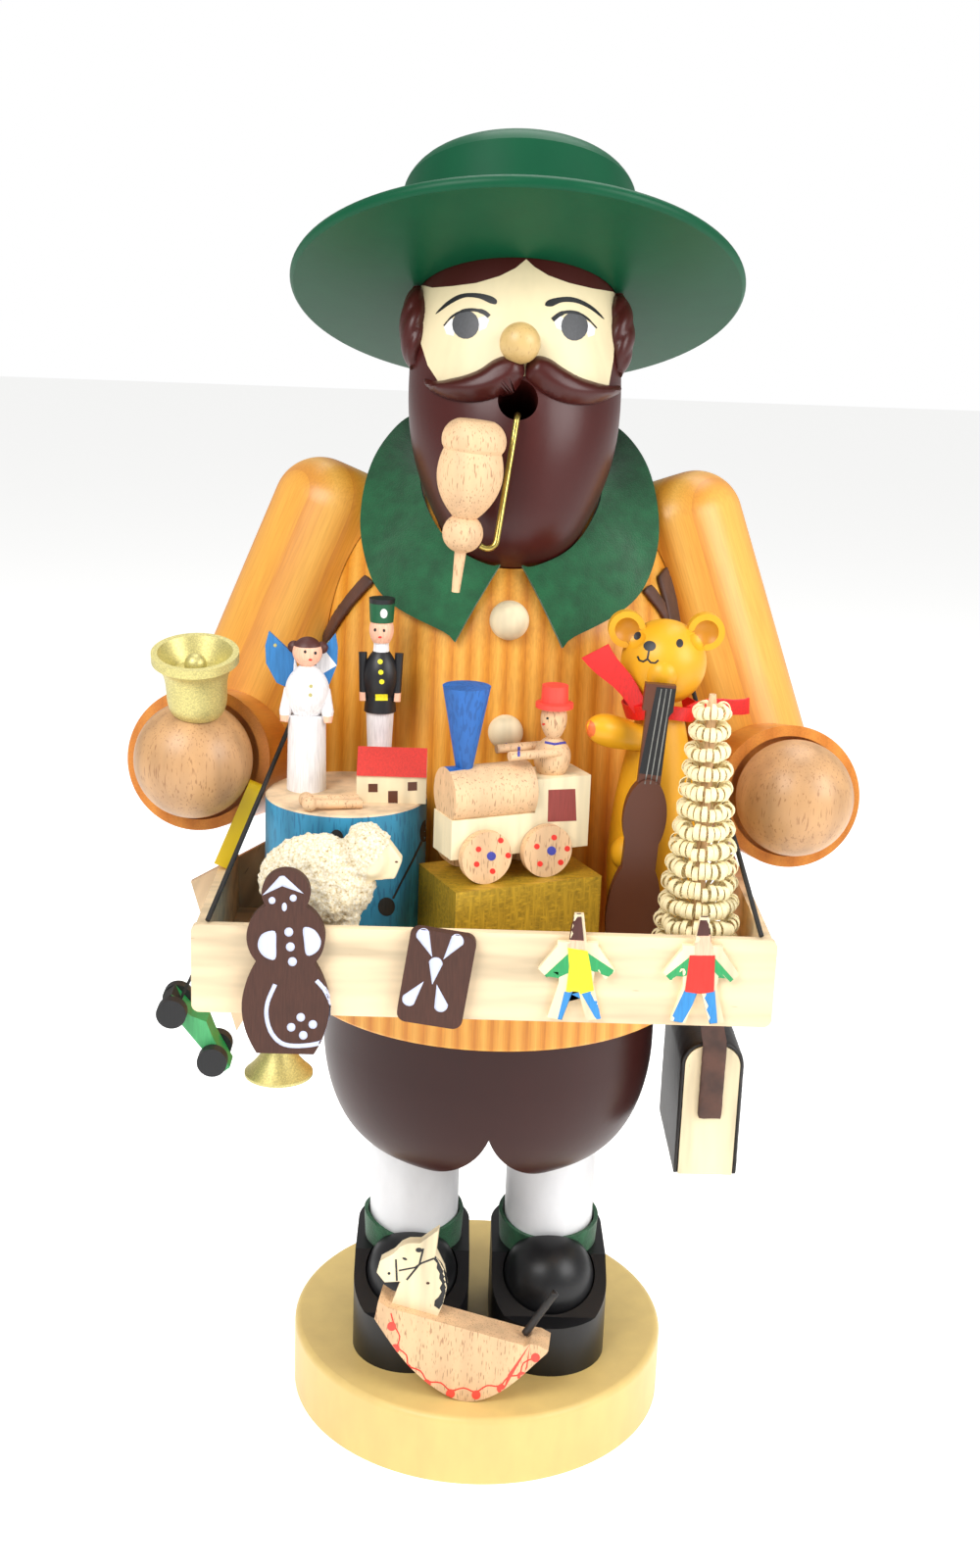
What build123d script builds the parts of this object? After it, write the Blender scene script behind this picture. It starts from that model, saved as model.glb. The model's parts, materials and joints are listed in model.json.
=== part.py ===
from build123d import *
import math
import os

os.makedirs("parts", exist_ok=True)

# Incense smoker figure: a bearded toy pedlar with a vendor's tray.
# Millimetres, +Z up, the viewer stands at -Y. The origin is the middle of the base's underside.

# Shared clearances
glue_gap = 0.3          # curved glued faces are drawn this far apart
fit_gap = 0.05          # dowels and pins in their bores, on the radius
lift_gap = 0.5          # the lift-off upper half on its spigot, on the radius
overrun = 2.0           # how far a cutting tool runs past the face that it cuts

# Base
base_radius = 75.0
base_height = 28.0
base_round = 2.5

# Shoes
shoe_spacing = 27.3     # each foot's middle from the figure's middle
shoe_width = 45.6
shoe_length = 80.0
shoe_y = -6.0
heel_height = 35.5
toe_ledge_height = 21.0
toe_ledge_slope = 32.0
shoe_round = 1.6
toe_ball_radius = 18.0
toe_ball_reach = 19.5   # the ball's middle, ahead of the leg's middle
toe_ball_lift = 28.5    # the ball's middle above the base
ball_gap = 0.6

# Stocking legs
leg_radius = 17.8
leg_top_z = 128.0
leg_seat_lift = 12.0    # floor of the ankle bore above the base
tenon_radius = 9.0
tenon_length = 14.0
cuff_felt = 1.6
cuff_top_z = 75.0
cuff_bottom_z = 60.0

# Trousers
trouser_radius = 64.6
trouser_top_z = 178.0
lobe_bottom_z = 113.5
crotch_z = 137.0
lobe_depth_share = 0.68
trouser_round = 21.0
spigot_radius = 33.0
spigot_height = 12.0

# Incense plate and cone
plate_radius = 20.0
plate_rim_height = 2.4
plate_thickness = 0.9
cone_radius = 6.0
cone_tip_radius = 1.0
cone_height = 26.0

# Jacket
hem_z = trouser_top_z
hem_radius = 76.0
waist_radius = 73.2
waist_z = 250.0
chest_radius = 69.5
chest_z = 300.0
shoulder_radius = 59.5
shoulder_z = 344.0
collar_bone_radius = 40.0
collar_bone_z = 364.0
jacket_top_z = 370.0
hem_round = 1.2
chamber_roof_z = 318.0
flue_radius = 6.0
draught_radius = 5.0
draught_z = 206.0

# Head, drawn about its own tilted axis
head_tilt = 25.5
head_y = -28.0
head_z = 402.5
head_radius = 36.3
chin_depth = 64.0
head_top_height = 43.0
chin_side_share = 0.72
chin_rise_share = 0.70
head_top_radius = 33.0
mouth_radius = 6.5
mouth_drop = 17.2
mouth_bore_length = 56.0
nose_radius = 6.6
nose_rise = -0.4
nose_sink = 2.2
neck_radius = 9.0
neck_bottom_z = 345.0
neck_top_z = 366.0
neck_y = -22.0
lock_radius = 5.2
lock_rise = 16.6
lock_length = 27.6
lock_forward = 10.0
lobe_length = 34.0      # each half of the moustache
lobe_height = 14.0
lobe_thickness = 7.0
moustache_drop = 9.0

# Hat
brim_radius = 77.0
brim_thickness = 4.2
brim_dish = 3.0
crown_radius = 42.5
crown_top_radius = 37.5
crown_height = 43.5
crown_round = 8.0
hat_socket_depth = 12.0
crown_fillet = 9.0

# Collar and buttons
collar_felt = 2.0
collar_lift = 0.5
collar_gap_z = 352.0
collar_tip_x = 17.5
collar_tip_z = 321.0
collar_outer_x = 58.0
collar_edge_z = 345.0
collar_back_y = 12.0
button_radius = 6.6
button_lower_radius = 5.9
button_z = 330.0
button_lower_z = 293.0
button_sink = 2.0

# Arms
arm_radius = 24.0
shoulder_x = 64.0
shoulder_top_z = 372.5
shoulder_cap = 17.0
shoulder_axis_z = 349.0
left_elbow_x = 98.0
right_elbow_x = 95.0
elbow_y = -12.0
left_elbow_z = 266.0
right_elbow_z = 260.0
left_hand_x = 103.0
right_hand_x = 97.0
hand_y = -82.0
left_hand_z = 283.0
right_hand_z = 276.0
hand_radius = 19.5
cuff_setback = 8.0      # the sleeve's mouth behind the hand's middle
cuff_wall = 3.6
cuff_depth = 6.0
elbow_heel = 27.0       # how far the sleeve's stub runs below the elbow

# Bell
bell_mouth_radius = 14.0
bell_rim = 3.0
bell_height = 23.5
bell_foot_radius = 6.0
bell_tilt = 14.0
bell_hollow = 7.0
clapper_radius = 3.6
bell_dish_rim = 2.0
bell_shift = 2.2        # the bell stands this far inward on the hand
bell_sink = 3.5

# Vendor's tray
tray_width = 181.5
tray_shift = -5.8       # the tray hangs this far to one side
tray_front_y = -136.0
tray_rear_y = -50.0
tray_bottom_z = 216.3
tray_height = 29.0
board = 3.0
floor_board = 3.6
tray_corner = 2.5

# Goods on the tray
drum_radius = 26.5
drum_x = -52.0
drum_y = -88.2
drum_height = 55.0
drum_hoop = 0.5
stick_radius = 1.5
stick_tip_radius = 2.4
stick_length = 17.0
stick_turn = 17.0
angel_x = -65.5
angel_y = -84.0
angel_skirt_radius = 6.5
angel_waist_radius = 4.6
angel_chest_radius = 6.8
angel_height = 46.0
angel_head_radius = 4.9
wing_far_share = 0.68   # the angel is turned, so its far wing shows narrower
miner_x = -42.2
miner_y = -71.5
miner_height = 62.1
miner_radius = 5.4
house_x = -37.0
house_y = -92.0
house_width = 22.5
house_depth = 13.0
house_wall = 9.0
house_roof = 8.0
roof_overhang = 0.6
sheep_x = -54.4
sheep_y = -121.5
sheep_length = 44.4
sheep_body_height = 30.0
sheep_thickness = 13.0
sheep_leg = 20.5
crate_x = 2.2
crate_y = -101.5
crate_width = 51.5
crate_depth = 30.5
crate_height = 34.5
crate_turn = 23.7
wheel_radius = 8.6
wheel_thickness = 3.0
wheel_base = 21.5
axle_radius = 1.2
boiler_radius = 9.0
boiler_length = 28.0
cab_length = 19.5
cab_height = 13.0
chassis_height = 13.0
chassis_width = 14.5
engine_length = 48.5
funnel_radius = 7.6
funnel_foot_radius = 2.8
funnel_height = 26.0
driver_radius = 4.6
driver_head_radius = 4.2
driver_height = 18.6
teddy_x = 50.5
teddy_y = -81.0
teddy_body_radius = 15.0
teddy_body_height = 72.0
teddy_head_radius = 14.0
teddy_head_z = 320.7
teddy_ear_radius = 6.0
teddy_arm_radius = 5.2
scarf_thickness = 1.4
scarf_radius = 10.2
scarf_z = 302.7
scarf_height = 5.3
scarf_left_tail = 27.0
scarf_right_tail = 21.0
violin_x = 42.0
violin_y = -99.6
violin_length = 98.0
violin_body = 66.0
violin_width = 17.5
violin_thickness = 4.6
violin_side_lean = 0.06
violin_back_lean = 0.0
tree_x = 62.5
tree_y = -114.0
tree_height = 98.0
tree_tiers = 15
tree_stem_radius = 2.0
tree_bottom_radius = 16.5
tree_top_radius = 5.5
gingerbread_thickness = 3.6
cookie_x = -67.0
cookie_head_radius = 7.4
cookie_chest_radius = 12.0
cookie_skirt_width = 27.0
cookie_head_z = 257.5
cookie_chest_z = 243.0
cookie_skirt_top_z = 235.0
cookie_foot_z = 204.5
tile_x = -20.5
tile_z = 230.8
tile_width = 20.5
tile_height = 31.0
tile_turn = -8.0
tile_corner = 3.0
doll_thickness = 2.0
doll_height = 35.0
doll_z = 235.3
yellow_doll_x = 22.8
red_doll_x = 61.4

# Toys hung at the tray's left end
kite_thickness = 2.4
kite_left_x = -109.0
kite_right_x = -62.0
kite_side_z = 229.0
kite_top_z = 246.5
kite_top_x = -79.0
kite_foot_z = 172.0
kite_foot_x = -93.0
racer_length = 31.0
racer_width = 8.5
racer_height = 7.0
racer_wheel_radius = 4.8
racer_wheel_width = 4.0
racer_x = -96.5
racer_y = -118.0
racer_z = 203.0
racer_dive = 52.0
racer_cord_radius = 0.5
racer_hook_z = 228.0
trumpet_x = -72.0
trumpet_y = -108.0
trumpet_mouth_radius = 11.3
trumpet_length = 33.0
trumpet_tube_radius = 1.9
trumpet_wall = 0.9
trumpet_flare = 17.0
skittle_length = 31.0
skittle_width = 5.0
skittle_thickness = 5.4
skittle_y = -82.5
skittle_lean = 0.41

# Straps, satchel and cords
leather = 1.4
brace_width = 5.6
brace_mid_x = 58.0
brace_mid_y = -30.0
brace_mid_z = 320.0
brace_reach = 62.0
satchel_strap_width = 9.2
satchel_strap_bearing = -29.0
strap_leave_z = 252.0
strap_swing_gap = 0.8   # room for the hanging end to swing under the jacket's strap
satchel_x = 84.5
satchel_width = 24.0
satchel_front_y = -33.0
satchel_depth = 54.0
satchel_top_z = 165.0
satchel_bottom_z = 110.0
satchel_leather = 1.6
satchel_round = 8.0
strap_end_z = 134.0
tray_cord_radius = 0.8

left_cord_end = (-64.3, -30.2, 311.9)
right_cord_end = (61.0, -35.3, 318.6)
cord_inset = 5.05

# Rocking horse
rocker_thickness = 12.0
rocker_width = 65.0
rocker_x = -5.0
rocker_front_y = -63.5
rocker_turn = 7.0
horse_thickness = 4.6
tail_radius = 1.5
tail_length = 22.0
rocker_bottom_shares = ((-0.548, 0.492), (-0.354, 0.218), (-0.178, 0.065), (0, 0), (0.195, 0.082), (0.335, 0.220), (0.460, 0.368))
rocker_top_shares = ((0.460, 0.368), (0.469, 0.389), (0.415, 0.415), (0.362, 0.422), (0.330, 0.400), (0.315, 0.410),
                     (-0.014, 0.478), (-0.474, 0.575), (-0.528, 0.611), (-0.548, 0.492))
horse_shares = ((-0.549, 0.762), (-0.532, 0.837), (-0.454, 0.892), (-0.411, 0.945), (-0.368, 0.969), (-0.302, 0.975),
                (-0.198, 1.068), (-0.211, 0.914), (-0.162, 0.814), (-0.140, 0.694), (-0.157, 0.600), (-0.185, 0.514),
                (-0.457, 0.571), (-0.408, 0.717), (-0.502, 0.702))
tail_root_share = (0.322, 0.412)
tail_lean_share = 0.57

# Pipe
pipe_x = -18.2
pipe_y = -84.0
pipe_z = 342.0
pipe_lean = 0.0905
bowl_radius = 10.4
cap_radius = 9.9
cap_height = 9.5
bowl_height = 21.0
ball_radius = 6.5
pipe_waist_radius = 3.9
pipe_tip_radius = 1.3
pipe_neck_radius = 1.9
pipe_tail = 13.0
wire_radius = 1.0
wire_bend = 3.0
wire_low_x = -6.2
wire_low_z = 354.6


def lathe_plane(origin, direction, across=(1, 0, 0)):
    """Plane for a turned profile: local Y runs along the turning axis, local X out from it."""
    along = Vector(*direction).normalized()
    out = Vector(*across)
    out = (out - along * out.dot(along)).normalized()
    return Plane(origin=origin, x_dir=out, z_dir=out.cross(along))


def turning_axis(origin, direction):
    """Axis that a turned profile is revolved about."""
    return Axis(origin, direction)


# The head's own frame
tilt = math.radians(head_tilt)
head_origin = (0, head_y, head_z)
head_up = (0, math.sin(tilt), math.cos(tilt))
head_front = (0, -math.cos(tilt), math.sin(tilt))
head_plane = lathe_plane(head_origin, head_up)
head_axis = turning_axis(head_origin, head_up)


def head_point(side, forward, rise):
    """Point given to the right, to the front and up along the head's own axis."""
    return (side, head_y + forward * head_front[1] + rise * head_up[1],
            head_z + forward * head_front[2] + rise * head_up[2])


# Base disc
with BuildPart() as base_disc:
    Cylinder(base_radius, base_height, align=(Align.CENTER, Align.CENTER, Align.MIN))
    fillet(base_disc.edges().group_by(Axis.Z)[-1], base_round)
base_disc.part.label = "base_disc"
export_step(base_disc.part, "parts/base_disc.step")

# Shoes: a milled block with a heel counter, an ankle bore and a ball toe
ankle_bore_radius = leg_radius + cuff_felt + glue_gap
toe_middle_y = -toe_ball_reach
for side, name in ((-1, "left"), (1, "right")):
    foot_x = side * shoe_spacing
    with BuildPart() as shoe:
        with BuildSketch(Plane.XY.offset(base_height)):
            with Locations((foot_x, shoe_y)):
                SlotOverall(shoe_length, shoe_width, rotation=90)
        extrude(amount=heel_height)
        with BuildSketch(Plane.YZ.offset(foot_x - shoe_width)):
            with BuildLine():
                ledge_y = toe_middle_y - toe_ball_radius
                ledge_z = base_height + toe_ledge_height
                cut_top_z = base_height + heel_height + overrun
                rise_y = (cut_top_z - ledge_z) / math.tan(math.radians(toe_ledge_slope))
                Polyline((shoe_y - shoe_length, ledge_z), (ledge_y, ledge_z), (ledge_y + rise_y, cut_top_z),
                         (shoe_y - shoe_length, cut_top_z), close=True)
            make_face()
        extrude(amount=2 * shoe_width, mode=Mode.SUBTRACT)
        with Locations((foot_x, toe_middle_y, base_height + toe_ball_lift)):
            Sphere(toe_ball_radius + ball_gap, mode=Mode.SUBTRACT)
            Sphere(toe_ball_radius)
        with BuildSketch(Plane.XY.offset(base_height + overrun)):
            with Locations((foot_x, toe_middle_y)):
                Circle(toe_ball_radius / 2)
        extrude(amount=toe_ball_lift - overrun)
        with BuildSketch(Plane.XY.offset(base_height + leg_seat_lift)):
            with Locations((foot_x, 0)):
                Circle(ankle_bore_radius)
        extrude(amount=heel_height, mode=Mode.SUBTRACT)
        with BuildSketch(Plane.XY.offset(base_height + leg_seat_lift - tenon_length / 2)):
            with Locations((foot_x, 0)):
                Circle(tenon_radius + fit_gap)
        extrude(amount=tenon_length, mode=Mode.SUBTRACT)
    shoe.part.label = f"{name}_shoe"
    export_step(shoe.part, f"parts/{name}_shoe.step")

# Stocking legs: two turned dowels with a tenon at each end
leg_foot_z = base_height + leg_seat_lift
with BuildPart() as stockings:
    for side in (-1, 1):
        with BuildSketch(Plane.XY.offset(leg_foot_z)):
            with Locations((side * shoe_spacing, 0)):
                Circle(leg_radius)
        extrude(amount=leg_top_z - leg_foot_z)
        with BuildSketch(Plane.XY.offset(leg_foot_z - tenon_length / 2)):
            with Locations((side * shoe_spacing, 0)):
                Circle(tenon_radius)
        extrude(amount=leg_top_z - leg_foot_z + tenon_length)
stockings.part.label = "stockings"
export_step(stockings.part, "parts/stockings.step")

# Felt cuffs round the ankles, tucked into the shoes
for side, name in ((-1, "left"), (1, "right")):
    with BuildPart() as ankle_felt:
        with BuildSketch(Plane.XY.offset(cuff_bottom_z)):
            with Locations((side * shoe_spacing, 0)):
                Circle(leg_radius + cuff_felt)
                Circle(leg_radius + fit_gap, mode=Mode.SUBTRACT)
        extrude(amount=cuff_top_z - cuff_bottom_z)
    ankle_felt.part.label = f"{name}_ankle_felt"
    export_step(ankle_felt.part, f"parts/{name}_ankle_felt.step")

# Trousers: a turned barrel, milled front to back into two legs, with the spigot on top
lobe_radius = trouser_radius / 2
with BuildPart() as trousers:
    with BuildSketch(Plane.XZ):
        with BuildLine():
            belly_z = lobe_bottom_z + trouser_round * 2
            Polyline((0, lobe_bottom_z), (trouser_radius * lobe_depth_share, lobe_bottom_z))
            EllipticalCenterArc((trouser_radius * lobe_depth_share, belly_z),
                                trouser_radius * (1 - lobe_depth_share), trouser_round * 2,
                                start_angle=-90, arc_size=90)
            Polyline((trouser_radius, belly_z), (trouser_radius, trouser_top_z), (0, trouser_top_z),
                     (0, lobe_bottom_z))
        make_face()
    revolve(axis=Axis.Z)
    with BuildSketch(Plane.XZ.offset(-trouser_radius - overrun)):
        with BuildLine():
            Polyline((-trouser_radius - overrun, trouser_top_z), (-trouser_radius - overrun, lobe_bottom_z + lobe_radius))
            ThreePointArc((-trouser_radius - overrun, lobe_bottom_z + lobe_radius),
                          (-lobe_radius, lobe_bottom_z), (0, crotch_z))
            ThreePointArc((0, crotch_z), (lobe_radius, lobe_bottom_z),
                          (trouser_radius + overrun, lobe_bottom_z + lobe_radius))
            Polyline((trouser_radius + overrun, lobe_bottom_z + lobe_radius), (trouser_radius + overrun, trouser_top_z),
                     (-trouser_radius - overrun, trouser_top_z))
        make_face()
    extrude(amount=2 * (trouser_radius + overrun), mode=Mode.INTERSECT)
    with BuildSketch(Plane.XY.offset(trouser_top_z)):
        Circle(spigot_radius)
    extrude(amount=spigot_height)
    for side in (-1, 1):
        with BuildSketch(Plane.XY.offset(lobe_bottom_z - overrun)):
            with Locations((side * shoe_spacing, 0)):
                Circle(leg_radius + fit_gap)
        extrude(amount=leg_top_z - lobe_bottom_z + overrun, mode=Mode.SUBTRACT)
        with BuildSketch(Plane.XY.offset(leg_top_z)):
            with Locations((side * shoe_spacing, 0)):
                Circle(tenon_radius + fit_gap)
        extrude(amount=tenon_length, mode=Mode.SUBTRACT)
trousers.part.label = "trousers"
export_step(trousers.part, "parts/trousers.step")

# Tin plate for the cone, lying on the spigot
plate_z = trouser_top_z + spigot_height
with BuildPart() as incense_plate:
    with BuildSketch(Plane.XY.offset(plate_z)):
        Circle(plate_radius)
    extrude(amount=plate_rim_height)
    with BuildSketch(Plane.XY.offset(plate_z + plate_thickness)):
        Circle(plate_radius - plate_thickness)
    extrude(amount=plate_rim_height, mode=Mode.SUBTRACT)
incense_plate.part.label = "incense_plate"
export_step(incense_plate.part, "parts/incense_plate.step")

with BuildPart() as incense_cone:
    with Locations((0, 0, plate_z + plate_thickness)):
        Cone(cone_radius, cone_tip_radius, cone_height, align=(Align.CENTER, Align.CENTER, Align.MIN))
incense_cone.part.label = "incense_cone"
export_step(incense_cone.part, "parts/incense_cone.step")


def jacket_outline(outset):
    """Half profile of the jacket's outside, grown outwards by an outset."""
    with BuildSketch(Plane.XZ) as outline:
        with BuildLine():
            Spline((hem_radius + outset, hem_z - outset), (waist_radius + outset, waist_z),
                   (chest_radius + outset, chest_z), (shoulder_radius + outset, shoulder_z + outset / 2),
                   (collar_bone_radius + outset / 2, collar_bone_z + outset), (0, jacket_top_z + outset),
                   tangents=((0, 1), (-1, 0)))
            Polyline((0, jacket_top_z + outset), (0, hem_z - outset), (hem_radius + outset, hem_z - outset))
        make_face()
    return outline.sketch


def egg_outline(outset):
    """Half profile of the head about its tilted axis, grown outwards by an outset."""
    with BuildSketch(head_plane) as outline:
        with BuildLine():
            Spline((0, -chin_depth - outset), (chin_side_share * head_radius + outset, -chin_rise_share * chin_depth),
                   (head_radius + outset, 0), tangents=((1, 0), (0, 1)))
            TangentArc((head_radius + outset, 0), (head_top_radius + outset, head_top_height), tangent=(0, 1))
            Polyline((head_top_radius + outset, head_top_height), (0, head_top_height), (0, -chin_depth - outset))
        make_face()
    return outline.sketch


with BuildPart(mode=Mode.PRIVATE) as jacket_envelope:
    add(jacket_outline(glue_gap))
    revolve(axis=Axis.Z)
with BuildPart(mode=Mode.PRIVATE) as head_envelope:
    add(egg_outline(glue_gap))
    revolve(axis=head_axis)

# Jacket: the turned trunk, bored from below as the smoke chamber
with BuildPart() as jacket:
    add(jacket_outline(0))
    revolve(axis=Axis.Z)
    fillet(jacket.edges().group_by(Axis.Z)[0], hem_round)
    add(head_envelope.part, mode=Mode.SUBTRACT)
    with BuildSketch(Plane.XY.offset(hem_z - overrun)):
        Circle(spigot_radius + lift_gap)
    extrude(amount=chamber_roof_z - hem_z + overrun, mode=Mode.SUBTRACT)
    with BuildSketch(Plane.XY.offset(chamber_roof_z - overrun)):
        with Locations((0, neck_y)):
            Circle(flue_radius)
    extrude(amount=jacket_top_z - chamber_roof_z, mode=Mode.SUBTRACT)
    with BuildSketch(Plane.XY.offset(neck_bottom_z)):
        with Locations((0, neck_y)):
            Circle(neck_radius + fit_gap)
    extrude(amount=jacket_top_z - neck_bottom_z, mode=Mode.SUBTRACT)
    with BuildSketch(Plane.XZ.offset(-hem_radius - overrun)):
        with Locations((0, draught_z)):
            Circle(draught_radius)
    extrude(amount=hem_radius, mode=Mode.SUBTRACT)
jacket.part.label = "jacket"
export_step(jacket.part, "parts/jacket.step")

with BuildPart() as neck_tube:
    with BuildSketch(Plane.XY.offset(neck_bottom_z)):
        with Locations((0, neck_y)):
            Circle(neck_radius)
            Circle(flue_radius, mode=Mode.SUBTRACT)
    extrude(amount=neck_top_z - neck_bottom_z)
neck_tube.part.label = "neck_tube"
export_step(neck_tube.part, "parts/neck_tube.step")

# Head: a turned egg with the smoke channel up to the mouth
mouth_plane = Plane(origin=head_point(0, head_radius + overrun, -mouth_drop), x_dir=(1, 0, 0), z_dir=head_front)
with BuildPart() as head:
    add(egg_outline(0))
    revolve(axis=head_axis)
    with BuildSketch(mouth_plane):
        Circle(mouth_radius)
    extrude(amount=-mouth_bore_length, mode=Mode.SUBTRACT)
    with BuildSketch(Plane.XY.offset(neck_bottom_z)):
        with Locations((0, neck_y)):
            Circle(neck_radius + fit_gap)
    extrude(amount=neck_top_z - neck_bottom_z, mode=Mode.SUBTRACT)
    with BuildSketch(Plane.XY.offset(neck_top_z)):
        with Locations((0, neck_y)):
            Circle(flue_radius)
    extrude(amount=neck_radius * 2, mode=Mode.SUBTRACT)
head.part.label = "head"
export_step(head.part, "parts/head.step")

# Nose bead, seated on the face
nose_place = head_point(0, head_radius + nose_radius - nose_sink, nose_rise)
with BuildPart() as nose:
    with Locations(nose_place):
        Sphere(nose_radius)
    add(head_envelope.part, mode=Mode.SUBTRACT)
nose.part.label = "nose"
export_step(nose.part, "parts/nose.step")

# Moustache: two tapering lobes laid round the face
with BuildPart() as moustache:
    for side in (-1, 1):
        with BuildSketch(Plane(origin=head_point(0, head_radius / 2, -moustache_drop), x_dir=(1, 0, 0), z_dir=head_front)):
            with BuildLine():
                inner = (side * glue_gap, lobe_height * 0.25)
                tip = (side * lobe_length, -lobe_height * 0.28)
                Spline(inner, (side * lobe_length * 0.3, lobe_height * 0.30), (side * lobe_length * 0.68, -lobe_height * 0.20), tip)
                Spline(tip, (side * lobe_length * 0.72, -lobe_height * 0.72), (side * lobe_length * 0.35, -lobe_height * 0.60), (side * glue_gap, -lobe_height * 0.12))
                Line((side * glue_gap, -lobe_height * 0.12), inner)
            make_face()
        extrude(amount=head_radius)
    with BuildSketch(head_plane):
        with BuildLine():
            Polyline((0, -head_radius), (head_radius + lobe_thickness * 0.8, -head_radius), (head_radius + lobe_thickness * 0.8, head_radius), (0, head_radius), close=True)
        make_face()
    revolve(axis=head_axis, mode=Mode.INTERSECT)
    add(head_envelope.part, mode=Mode.SUBTRACT)
    with Locations(nose_place):
        Sphere(nose_radius + glue_gap, mode=Mode.SUBTRACT)
moustache.part.label = "moustache"
export_step(moustache.part, "parts/moustache.step")

# Carved hair locks at the temples, under the hat
with BuildPart() as hair_locks:
    for side in (-1, 1):
        lock_side = math.sqrt(head_radius ** 2 - lock_forward ** 2) - lock_radius / 5
        lock_origin = head_point(side * lock_side, lock_forward, lock_rise - lock_length / 2)
        with BuildSketch(lathe_plane(lock_origin, head_up)):
            with BuildLine():
                Polyline((0, 0), (lock_radius * 0.62, 0), (lock_radius, lock_length * 0.22),
                         (lock_radius, lock_length * 0.78), (lock_radius * 0.62, lock_length), (0, lock_length), close=True)
            make_face()
        revolve(axis=turning_axis(lock_origin, head_up))
    add(head_envelope.part, mode=Mode.SUBTRACT)
hair_locks.part.label = "hair_locks"
export_step(hair_locks.part, "parts/hair_locks.step")

# Hat: brim and crown turned in one piece, socketed over the head's top
with BuildPart() as hat:
    with BuildSketch(head_plane):
        with BuildLine():
            brim_low = head_top_height - hat_socket_depth
            brim_tip = (brim_radius, brim_low + brim_dish)
            ThreePointArc((0, brim_low), (brim_radius / 2, brim_low + brim_dish * 0.25), brim_tip)
            ThreePointArc(brim_tip, (brim_radius + brim_thickness * 0.3, brim_low + brim_dish + brim_thickness / 2),
                          (brim_radius, brim_low + brim_dish + brim_thickness))
            Line((brim_radius, brim_low + brim_dish + brim_thickness), (crown_radius + crown_fillet, brim_low + brim_thickness + brim_dish * 0.4))
            crown_foot = (crown_radius, brim_low + brim_thickness + crown_fillet)
            TangentArc((crown_radius + crown_fillet, brim_low + brim_thickness + brim_dish * 0.4), crown_foot, tangent=(-1, 0))
            crown_top = brim_low + brim_thickness + crown_height
            Line(crown_foot, (crown_top_radius + crown_round * 0.35, crown_top - crown_round))
            ThreePointArc((crown_top_radius + crown_round * 0.35, crown_top - crown_round),
                          (crown_top_radius - crown_round * 0.2, crown_top - crown_round * 0.28),
                          (crown_top_radius - crown_round, crown_top))
            Polyline((crown_top_radius - crown_round, crown_top), (0, crown_top), (0, brim_low))
        make_face()
    revolve(axis=head_axis)
    add(head_envelope.part, mode=Mode.SUBTRACT)
hat.part.label = "hat"
export_step(hat.part, "parts/hat.step")


# Shoulder caps that the collar is kept clear of
arm_envelopes = []
for side, elbow_x, elbow_z in ((-1, left_elbow_x, left_elbow_z), (1, right_elbow_x, right_elbow_z)):
    shoulder = Vector(side * shoulder_x, 0, shoulder_axis_z)
    upper_way = (Vector(side * elbow_x, elbow_y, elbow_z) - shoulder).normalized()
    with BuildPart(mode=Mode.PRIVATE) as arm_envelope:
        with BuildSketch(lathe_plane(tuple(shoulder), tuple(upper_way))):
            with BuildLine():
                Polyline((0, shoulder_axis_z - shoulder_top_z - glue_gap), (arm_radius + glue_gap, shoulder_axis_z - shoulder_top_z - glue_gap),
                         (arm_radius + glue_gap, shoulder_z - waist_z), (0, shoulder_z - waist_z), close=True)
            make_face()
        revolve(axis=turning_axis(tuple(shoulder), tuple(upper_way)))
    arm_envelopes.append(arm_envelope.part)


def jacket_shell(low, high):
    """Thin skin that lies on the jacket between two outsets."""
    with BuildPart(mode=Mode.PRIVATE) as skin:
        add(jacket_outline(high))
        revolve(axis=Axis.Z)
        with BuildPart(mode=Mode.SUBTRACT):
            add(jacket_outline(low))
            revolve(axis=Axis.Z)
    return skin.part


# Felt collar: two front lobes that lie on the chest and shoulders
with BuildPart() as felt_collar:
    add(jacket_outline(collar_lift + collar_felt))
    revolve(axis=Axis.Z)
    with BuildSketch(Plane.XZ.offset(-hem_radius)):
        with BuildLine():
            Polyline((0, collar_gap_z), (collar_tip_x, collar_tip_z), (collar_outer_x, collar_edge_z), (collar_outer_x, jacket_top_z + collar_lift * 2),
                     (-collar_outer_x, jacket_top_z + collar_lift * 2), (-collar_outer_x, collar_edge_z), (-collar_tip_x, collar_tip_z), close=True)
        make_face()
    extrude(amount=2 * hem_radius, mode=Mode.INTERSECT)
    with BuildPart(mode=Mode.PRIVATE) as under_collar:
        add(jacket_outline(collar_lift))
        revolve(axis=Axis.Z)
    add(under_collar.part, mode=Mode.SUBTRACT)
    add(head_envelope.part, mode=Mode.SUBTRACT)
    for envelope in arm_envelopes:
        add(envelope, mode=Mode.SUBTRACT)
    with BuildSketch(Plane.XZ.offset(-hem_radius)):
        Rectangle(2 * hem_radius, 2 * shoulder_top_z)
    extrude(amount=hem_radius - collar_back_y, mode=Mode.SUBTRACT)
felt_collar.part.label = "felt_collar"
export_step(felt_collar.part, "parts/felt_collar.step")

# Two wooden button beads on the chest
with BuildPart() as coat_buttons:
    for z, radius, chest in ((button_z, button_radius, chest_radius * 0.92), (button_lower_z, button_lower_radius, chest_radius * 1.01)):
        with Locations((0, -chest - radius + button_sink * 2, z)):
            Sphere(radius)
    add(jacket_envelope.part, mode=Mode.SUBTRACT)
coat_buttons.part.label = "coat_buttons"
export_step(coat_buttons.part, "parts/coat_buttons.step")

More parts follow.
